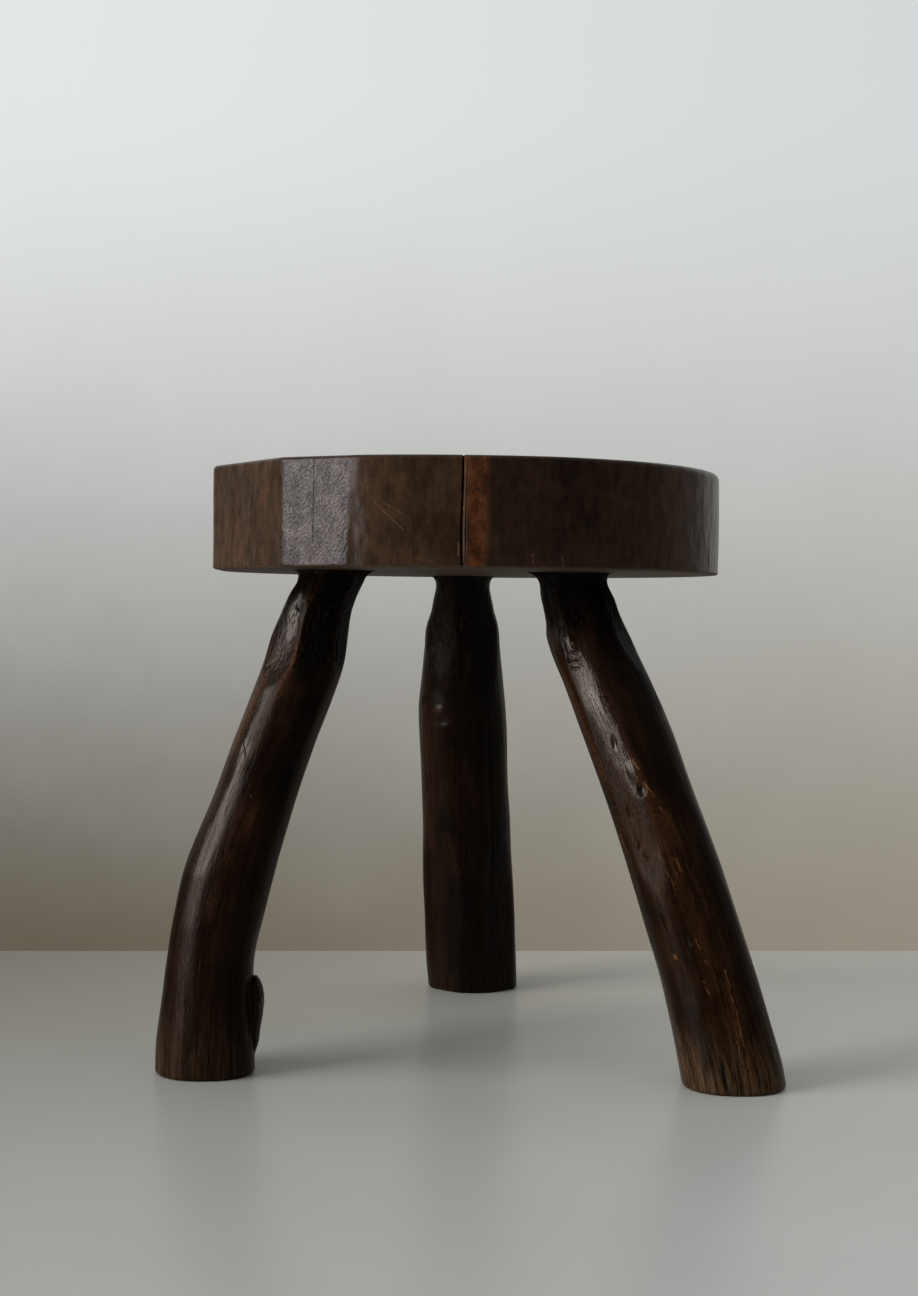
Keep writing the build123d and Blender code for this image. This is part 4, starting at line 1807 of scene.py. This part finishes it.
def right_leg() -> Leg:
    """The front right leg, nearly straight, its foot worn to open grain.

    Returns:
        The leg.
    """
    marks = marks_on(
        radius=26.5,
        cracks=(
            (264, 235.5, 258, 234, 0.5, 0.9), (258, 234, 242, 226, 0.5, 0.9),
            (99, 231.5, 89, 233, 0.7, 1.0), (88.5, 252.5, 80, 254, 0.7, 1.0),
            (18, 256, 3, 256, 0.6, 1.0), (22, 268, 2, 267, 0.4, 0.8),
            (34, 276, 12, 277, 0.4, 0.8), (26, 292, 4, 293, 0.5, 0.8),
        ),
        scratches=((266, 271, 266.5, 286, 0.35, 0.3), (60, 287, 30, 286, 0.35, 0.3)),
        rubbed=(
            (186.5, 261, 181, 264, 1.0, 1.0), (178, 259, 172, 257.5, 0.6, 0.7),
            (173, 265, 166, 271, 0.8, 0.9), (166, 271, 158, 275, 0.6, 0.6),
            (142, 203, 134, 205, 0.8, 0.9), (133, 206, 126, 208, 0.6, 0.6),
            (134, 253, 128, 255, 0.8, 0.6), (124, 256, 113, 259, 0.7, 0.6),
            (131, 270, 124, 272, 1.4, 0.5), (88, 264, 80, 266, 0.7, 0.7),
            (78, 266, 71, 268, 0.6, 0.6), (76, 233, 74, 234, 1.2, 1.0),
            (63, 259, 56, 261, 0.8, 0.7), (69, 287, 58, 286.8, 0.6, 0.9),
            (56, 286.8, 45, 286.6, 0.6, 0.7), (44, 286.6, 26, 285, 0.9, 0.8),
            (24, 285, 8, 285, 1.5, 0.7), (30, 278, 10, 278, 0.9, 0.5),
            (34, 206, 6, 206, 1.8, 0.6),
        ),
        warm=(
            (234, 203, 176, 206, 8.0, 0.55), (226, 256, 190, 262, 3.0, 0.4),
            (190, 262, 120, 268, 4.0, 0.45), (120, 264, 60, 270, 6.0, 0.3),
            (176, 236, 108, 240, 11.0, 0.2), (60, 284, 4, 282, 7.0, 0.45),
        ),
        sooty=(
            (296, 215, 272, 212, 16.0, 1.0), (296, 250, 270, 250, 16.0, 1.0),
            (296, 290, 250, 296, 15.0, 0.9), (296, 330, 256, 334, 14.0, 0.9),
            (250, 296, 120, 306, 11.0, 0.5), (260, 322, 222, 328, 14.0, 0.9),
            (44, 232, 14, 246, 9.0, 0.6),
        ),
        handled=(
            (262, 246, 218, 241, 12.0, 0.75), (222, 244, 186, 249.5, 11.0, 1.0),
            (186, 249, 170, 252, 8.0, 0.6),
        ),
    )
    return Leg(
        side=Side.RIGHT,
        stations=rows(
            Station,
            (0.0, 153.3, -142.2, 59.8, 58.5), (9.4, 151.7, -140.5, 60.0, 58.3),
            (36.0, 145.4, -135.8, 57.7, 57.0), (63.0, 138.4, -130.8, 56.0, 56.0),
            (90.0, 130.2, -125.7, 55.9, 55.5), (117.0, 121.7, -120.3, 55.2, 54.8),
            (145.0, 112.3, -114.3, 54.3, 54.0), (172.0, 102.8, -108.2, 54.1, 53.5),
            (200.5, 92.7, -101.5, 54.7, 53.0), (229.0, 81.4, -94.4, 52.5, 51.0),
            (250.0, 72.2, -89.1, 51.3, 49.0), (257.0, 69.7, -87.3, 50.2, 48.0),
            (265.0, 67.7, -85.2, 46.9, 46.0), (272.0, 65.7, -83.4, 45.3, 44.5),
            (280.0, 63.5, -81.3, 44.4, 43.0), (289.0, 61.1, -78.9, 41.2, 41.0),
            (295.5, 60.3, -77.4, 41.0, 41.0),
        ),
        head=(60.5, -77.2),
        lean=(-0.231, 0.156),
        tone=1.3,
        foot_dust=0.75,
        coarseness=0.2,
        tenon_radius=17.25,
        seed=202,
        rough_low=258.0,
        flats=rows(
            Flat,
            (206, ((200, 38.0), (236, 30.0), (262, 22.7), (296, 20.0)), 0.5),
            (258, ((200, 38.0), (240, 30.0), (268, 21.8), (296, 19.8)), 0.5),
            (330, ((200, 36.0), (222, 30.0), (262, 22.9), (296, 20.2))),
            (20, ((200, 36.0), (226, 30.0), (268, 22.6), (296, 20.4))),
            (95, ((200, 38.0), (230, 30.0), (270, 21.2), (296, 19.8))),
            (
                239,
                ((84, 36), (122, 26.6), (150, 25.3), (188, 24.9), (219, 25.9), (244, 25), (264, 29)),
                0.6,
            ),
        ),
        dents=rows(
            Dent,
            (253, 243, 9.0, 5.0, -0.9),
            (247.5, 240, 3.0, 7.0, 0.7),
            (242, 231, 2.6, 11.0, 0.5, -12),
            (238, 229, 2.4, 9.0, 0.4, -12),
            (196, 244, 10.0, 3.6, 0.6, 18),
            (170, 260, 11.0, 6.0, 1.8, 25),
            (179, 258, 16.0, 12.0, -0.7, 20),
            (156, 230, 10.0, 2.8, 0.5, 6),
            (137, 229, 9.0, 2.4, 0.5, 24),
            (130, 234, 7.0, 2.4, 0.5, -22),
            (94, 232, 12.0, 3.0, 0.6, 4),
            (84, 253, 10.0, 3.0, 0.6, 4),
            (60, 240, 40.0, 14.0, 0.5, 8),
            (12, 256, 22.0, 3.0, 0.9),
        ),
        tears=rows(Tear, (186, 18, 6.5, 1.6), (200, 20, 2.0, 3.0), (350, 22, 2.6, 1.6)),
        gouging=rows(Gouging, (262, 292, 250, 90, 200, 0.35), (236, 262, 232, 14, 16, 0.25)),
        marks=marks,
    )


def back_leg() -> Leg:
    """The back leg, the stoutest, with a long crack down its front.

    Returns:
        The leg.
    """
    marks = marks_on(
        radius=28.6,
        cracks=(
            (252, 303, 226, 305, 0.8, 0.9), (226, 305, 198, 303.5, 0.7, 0.9),
            (198, 303.5, 150, 305.5, 0.7, 0.9), (150, 305.5, 95, 304.5, 0.6, 0.8),
            (95, 304.5, 46, 306.5, 0.5, 0.6), (120, 272, 90, 271, 0.5, 0.5),
        ),
        rubbed=((265, 236, 240, 268, 0.8, 0.5), (203, 234, 203, 245, 1.0, 0.8)),
        warm=((200, 218, 110, 215, 12.0, 0.75), (110, 225, 30, 222, 12.0, 0.4)),
        sooty=(
            (290, 270, 220, 285, 24.0, 0.6), (200, 300, 20, 300, 18.0, 0.4),
            (70, 262, 10, 262, 22.0, 0.8),
        ),
        handled=((212, 236, 196, 244, 7.0, 0.35),),
    )
    return Leg(
        side=Side.BACK,
        stations=rows(
            Station,
            (0.0, 4.6, 157.0, 63.4, 61.5), (19.5, 3.3, 153.8, 64.7, 62.0),
            (56.0, 1.5, 146.5, 64.6, 62.0), (91.0, -0.2, 138.6, 63.5, 61.5),
            (127.0, -1.8, 129.5, 61.9, 60.5), (161.0, -3.2, 120.2, 60.9, 59.5),
            (196.0, -4.7, 110.0, 61.4, 59.5), (204.0, -5.1, 107.6, 60.8, 59.0),
            (221.0, -5.4, 102.5, 57.3, 57.0), (246.0, -5.6, 94.8, 51.9, 52.0),
            (263.0, -5.7, 89.5, 48.3, 48.0), (271.0, -5.5, 87.0, 43.5, 44.0),
            (280.0, -5.8, 84.2, 40.0, 41.0), (288.0, -5.8, 81.7, 36.8, 38.0),
            (295.5, -5.8, 79.2, 37.5, 38.0),
        ),
        head=(-5.8, 78.3),
        lean=(-0.0016, -0.350),
        # Painted shade: the back leg's wood is darkened for the seat's shadow and its distance from the
        # light.
        tone=0.6,
        foot_dust=0.15,
        coarseness=0.3,
        tenon_radius=15.25,
        seed=303,
        rough_low=266.0,
        flats=rows(
            Flat,
            (236, ((190, 38.0), (210, 33.0), (262, 21.6), (296, 17.9)), 0.4),
            (306, ((190, 38.0), (206, 33.0), (260, 21.6), (296, 17.9)), 0.4),
            (270, ((200, 38.0), (230, 31.0), (270, 20.8), (296, 17.7)), 0.4),
            (60, ((200, 38.0), (220, 33.0), (268, 21.0), (296, 17.9))),
            (120, ((200, 38.0), (220, 33.0), (268, 21.0), (296, 17.9))),
            (312, ((0, 29.8), (100, 29.8), (136, 38.0)), 0.8),
            (228, ((0, 30.0), (110, 30.0), (146, 38.0)), 0.8),
        ),
        dents=rows(
            Dent,
            (203, 240, 9.0, 12.0, -1.1),
            (196, 243, 7.0, 10.0, 0.8),
            (210, 205, 8.0, 10.0, -0.7),
            (236, 272, 30.0, 9.0, 1.2),
            (262, 271, 8.0, 6.0, -0.8),
            (150, 305, 200.0, 3.2, 0.8),
        ),
        tears=rows(Tear, (186, 24, 1.6, 2.0), (352, 24, 1.8, 2.2)),
        gouging=rows(Gouging, (244, 290, 270, 90, 110, 0.32)),
        marks=marks,
    )


# ---- Stage, lights and camera -------------------------------------------------------------------
def placed(name: str, data: bpy.types.ID) -> bpy.types.Object:
    """A new object in the scene."""
    thing = bpy.data.objects.new(name, data)
    bpy.context.scene.collection.objects.link(thing)
    return thing


@dataclass(frozen=True)
class Stage:
    """A pale floor, and a wall a little way behind the stool, their tones painted with light and shade.
    """

    half_width: float = 6000.0  # of the floor and the wall
    wall_distance: float = 305.3  # behind the origin, on its own line
    wall_turn: float = 3.5  # degrees: its right side is farther away
    wall_low: float = -60.0  # the wall is darkest up to this height
    wall_top: float = 700.0  # and palest from this one up
    wall_side: float = 420.0  # and palest or darkest from this far to each side
    wall_dusk: tuple[float, float] = (0.85, 0.6)  # how much darker it grows farther out, by side
    dusk_reach: float = 1.9  # times wall_side, where it is darkest
    rug_side: float = -450.0  # a dark matt rug starts here, between the stool and the windows
    rug_edge: float = 300.0  # over which it begins
    # The floor's corner tones are painted light and shade: dark at the left, where a window sill's
    # shadow is painted, palest at the far right.
    near_left: Colour = (0.335, 0.335, 0.315)
    near_right: Colour = (0.640, 0.645, 0.630)
    far_left: Colour = (0.265, 0.255, 0.212)
    far_right: Colour = (0.730, 0.730, 0.680)
    floor_side: float = 520.0  # the floor's tones lie this far to each side
    floor_depth: tuple[float, float] = (-420.0, 280.0)  # from its near tones to its far ones
    # The wall's corner tones are painted light and shade: pale high up, darkest low at the left, where
    # the window sill's shade is painted.
    low_left: Colour = (0.112, 0.094, 0.064)
    low_right: Colour = (0.280, 0.250, 0.200)
    high_left: Colour = (0.775, 0.795, 0.800)
    high_right: Colour = (0.665, 0.690, 0.690)

    def _sheet(
        self, name: str, edge: Sequence[tuple], material: bpy.types.Material
    ) -> bpy.types.Object:
        """One flat four-sided stage piece.

        Args:
            name: its name.
            edge: its four corners, in millimetres.
            material: its finish.

        Returns:
            The piece.
        """
        mesh = bpy.data.meshes.new(name)
        mesh.from_pydata([[part * MM for part in corner] for corner in edge], [], [(0, 1, 2, 3)])
        mesh.materials.append(material)
        thing = placed(name, mesh)
        return thing

    def _floor_material(self) -> bpy.types.Material:
        """Smooth sealed floor, faintly glossy, with soft clouds between four corner tones that paint
        shade at the left and light at the far right.

        Returns:
            The material.
        """
        paint = Coat("floor_finish")
        place = paint.place()
        x, y, _ = paint.axes(place)
        cloud = paint.noise(place, (160, 160, 160), 3)
        far = y.eased(*self.floor_depth)
        left = paint.mix(far, self.near_left, self.far_left)
        right = paint.mix(far, self.near_right, self.far_right)
        colour = paint.mix(x.eased(-self.floor_side, self.floor_side), left, right)
        rug = x.eased(self.rug_side, self.rug_side - self.rug_edge)
        colour = paint.scaled(colour, (cloud * 0.12 + 0.94) * (1 - rug * 0.5))
        sockets = {"Base Color": colour, "Roughness": 0.30 + rug * 0.6, "IOR": 1.45}
        return paint.finished(paint.surface(sockets))

    def _wall_material(self) -> bpy.types.Material:
        """A wall whose light and shade are painted on, seen as such by the camera and in reflections.

        The painted tone lies between four corner tones, by an S curve of the height and one of X: pale
        high up, darkest low at the left, and darker farther out to each side. The wall is clear from
        behind, so that it hides nothing in views of the stool's back.

        Returns:
            The material.
        """
        paint = Coat("wall_finish")
        place = paint.place()
        x, _, height = paint.axes(place)
        cloud = paint.noise(place, (110, 110, 110), 4) * 60.0 - 30.0
        side = (x + cloud).eased(-self.wall_side, self.wall_side)
        low = paint.mix(side, self.low_left, self.low_right)
        high = paint.mix(side, self.high_left, self.high_right)
        colour = paint.mix((height + cloud).eased(self.wall_low, self.wall_top), low, high)
        left, right = (way.eased(self.wall_side, self.wall_side * self.dusk_reach) for way in (-x, x))
        colour = paint.scaled(colour, 1 - left * self.wall_dusk[0] - right * self.wall_dusk[1])
        camera = paint.node("ShaderNodeLightPath", output="Is Camera Ray")
        seen = camera.most(camera.beside("Is Glossy Ray"))
        seen = seen.most(camera.beside("Is Transmission Ray"))
        tone = paint.node("ShaderNodeEmission", sockets={"Color": colour})
        lit = paint.surface({"Base Color": colour, "Roughness": 0.9})
        behind = paint.node("ShaderNodeNewGeometry", output="Backfacing")
        clear = paint.node("ShaderNodeBsdfTransparent")
        return paint.finished(paint.blended(behind, paint.blended(seen, lit, tone), clear))

    def build(self) -> None:
        """Lays the floor and stands the wall."""
        wide = self.half_width
        floor = ((-wide, -wide, 0), (wide, -wide, 0), (wide, wide, 0), (-wide, wide, 0))
        self._sheet("floor", floor, self._floor_material())
        rise = wide * np.tan(np.radians(self.wall_turn))
        near, far = self.wall_distance - rise, self.wall_distance + rise
        wall = ((wide, far, wide), (-wide, near, wide), (-wide, near, 0), (wide, far, 0))
        backdrop = self._sheet("wall", wall, self._wall_material())
        backdrop.visible_shadow = False
        backdrop.visible_diffuse = False


@dataclass(frozen=True)
class Opening:
    """A door or a window in the wall at the left: where it starts and ends along Y and Z."""

    name: str
    near: float
    far: float
    low: float
    high: float
    radiance: float


@dataclass(frozen=True)
class Daylight:
    """Soft light from a glazed door and a window at the left, and a sky that is dim low down."""

    side: float = -1550.0  # where the wall with the openings stands, along X
    openings: tuple[Opening, ...] = (
        Opening("door_foot", -1425.0, -800.0, 20.0, 620.0, 9.4),
        Opening("door_head", -1425.0, -800.0, 620.0, 1460.0, 9.0),
        Opening("window_foot", -800.0, -175.0, 330.0, 900.0, 3.7),
        Opening("window_head", -800.0, -175.0, 900.0, 1460.0, 8.2),
    )
    tint: Colour = (1.0, 0.985, 0.965)
    sky_low: Colour = (0.08, 0.08, 0.08)
    sky_back: Colour = (0.46, 0.47, 0.48)
    sky_high: Colour = (0.70, 0.715, 0.73)

    def _hang(self, opening: Opening) -> None:
        """Hangs one opening's lamp, facing the stool.

        Args:
            opening: the door or window.
        """
        lamp = bpy.data.lights.new(opening.name, "AREA")
        lamp.shape = "RECTANGLE"
        lamp.size = (opening.far - opening.near) * MM
        lamp.size_y = (opening.high - opening.low) * MM
        lamp.energy = opening.radiance * np.pi * lamp.size * lamp.size_y
        lamp.color = self.tint
        thing = placed(opening.name, lamp)
        middle = (self.side, (opening.near + opening.far) / 2, (opening.low + opening.high) / 2)
        thing.location = Vector(middle) * MM
        thing.rotation_euler = Vector((-1.0, 0.0, 0.0)).to_track_quat("Z", "Y").to_euler()
        thing.visible_camera = False

    def build(self) -> None:
        """Hangs the lamps, and colours the sky by its height squared and brighter at the back."""
        for opening in self.openings:
            self._hang(opening)
        world = bpy.data.worlds.new("sky")
        world.use_nodes = True
        paint = Painter(world.node_tree)
        direction = paint.node("ShaderNodeTexCoord", output="Generated")
        _, back, high = paint.axes(direction)
        low = paint.mix(back.eased(0.0, 0.8), self.sky_low, self.sky_back)
        colour = paint.mix(high * high, low, self.sky_high)
        paint.feed(world.node_tree.nodes["Background"], {"Color": colour})
        bpy.context.scene.world = world


@dataclass(frozen=True)
class Viewpoint:
    """Where the camera stands: just under the level of the seat, square to the front."""

    place: tuple[float, float, float] = (-7.9, -1290.7, 271.0)
    pitch: float = 1.03  # degrees down
    roll: float = 0.6  # degrees that the picture is turned clockwise
    lens: float = 55.56

    def build(self) -> None:
        """Sets the camera up and makes it the scene's."""
        pitch, roll = np.radians(self.pitch), np.radians(self.roll)
        ahead = Vector((0.0, np.cos(pitch), -np.sin(pitch)))
        level = Vector((1.0, 0.0, 0.0))
        upright = level.cross(ahead)
        right = level * np.cos(roll) + upright * np.sin(roll)
        up = upright * np.cos(roll) - level * np.sin(roll)
        camera = bpy.data.cameras.new("camera")
        camera.lens = self.lens
        thing = placed("camera", camera)
        turn = Matrix((right, up, -ahead)).transposed().to_4x4()
        thing.matrix_world = Matrix.Translation(Vector(self.place) * MM) @ turn
        bpy.context.scene.camera = thing


def main() -> None:
    """Builds the stool, its stage, its light and its camera."""
    logging.basicConfig(level=logging.INFO, format="%(name)s: %(message)s")
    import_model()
    seat = Seat()
    legs = [left_leg(), right_leg(), back_leg()]
    seat.build(legs)
    for leg in legs:
        leg.build(seat)
    for part in (Stage(), Daylight(), Viewpoint()):
        part.build()
    bpy.context.scene.view_settings.view_transform = "Standard"


if __name__ == "__main__":
    main()
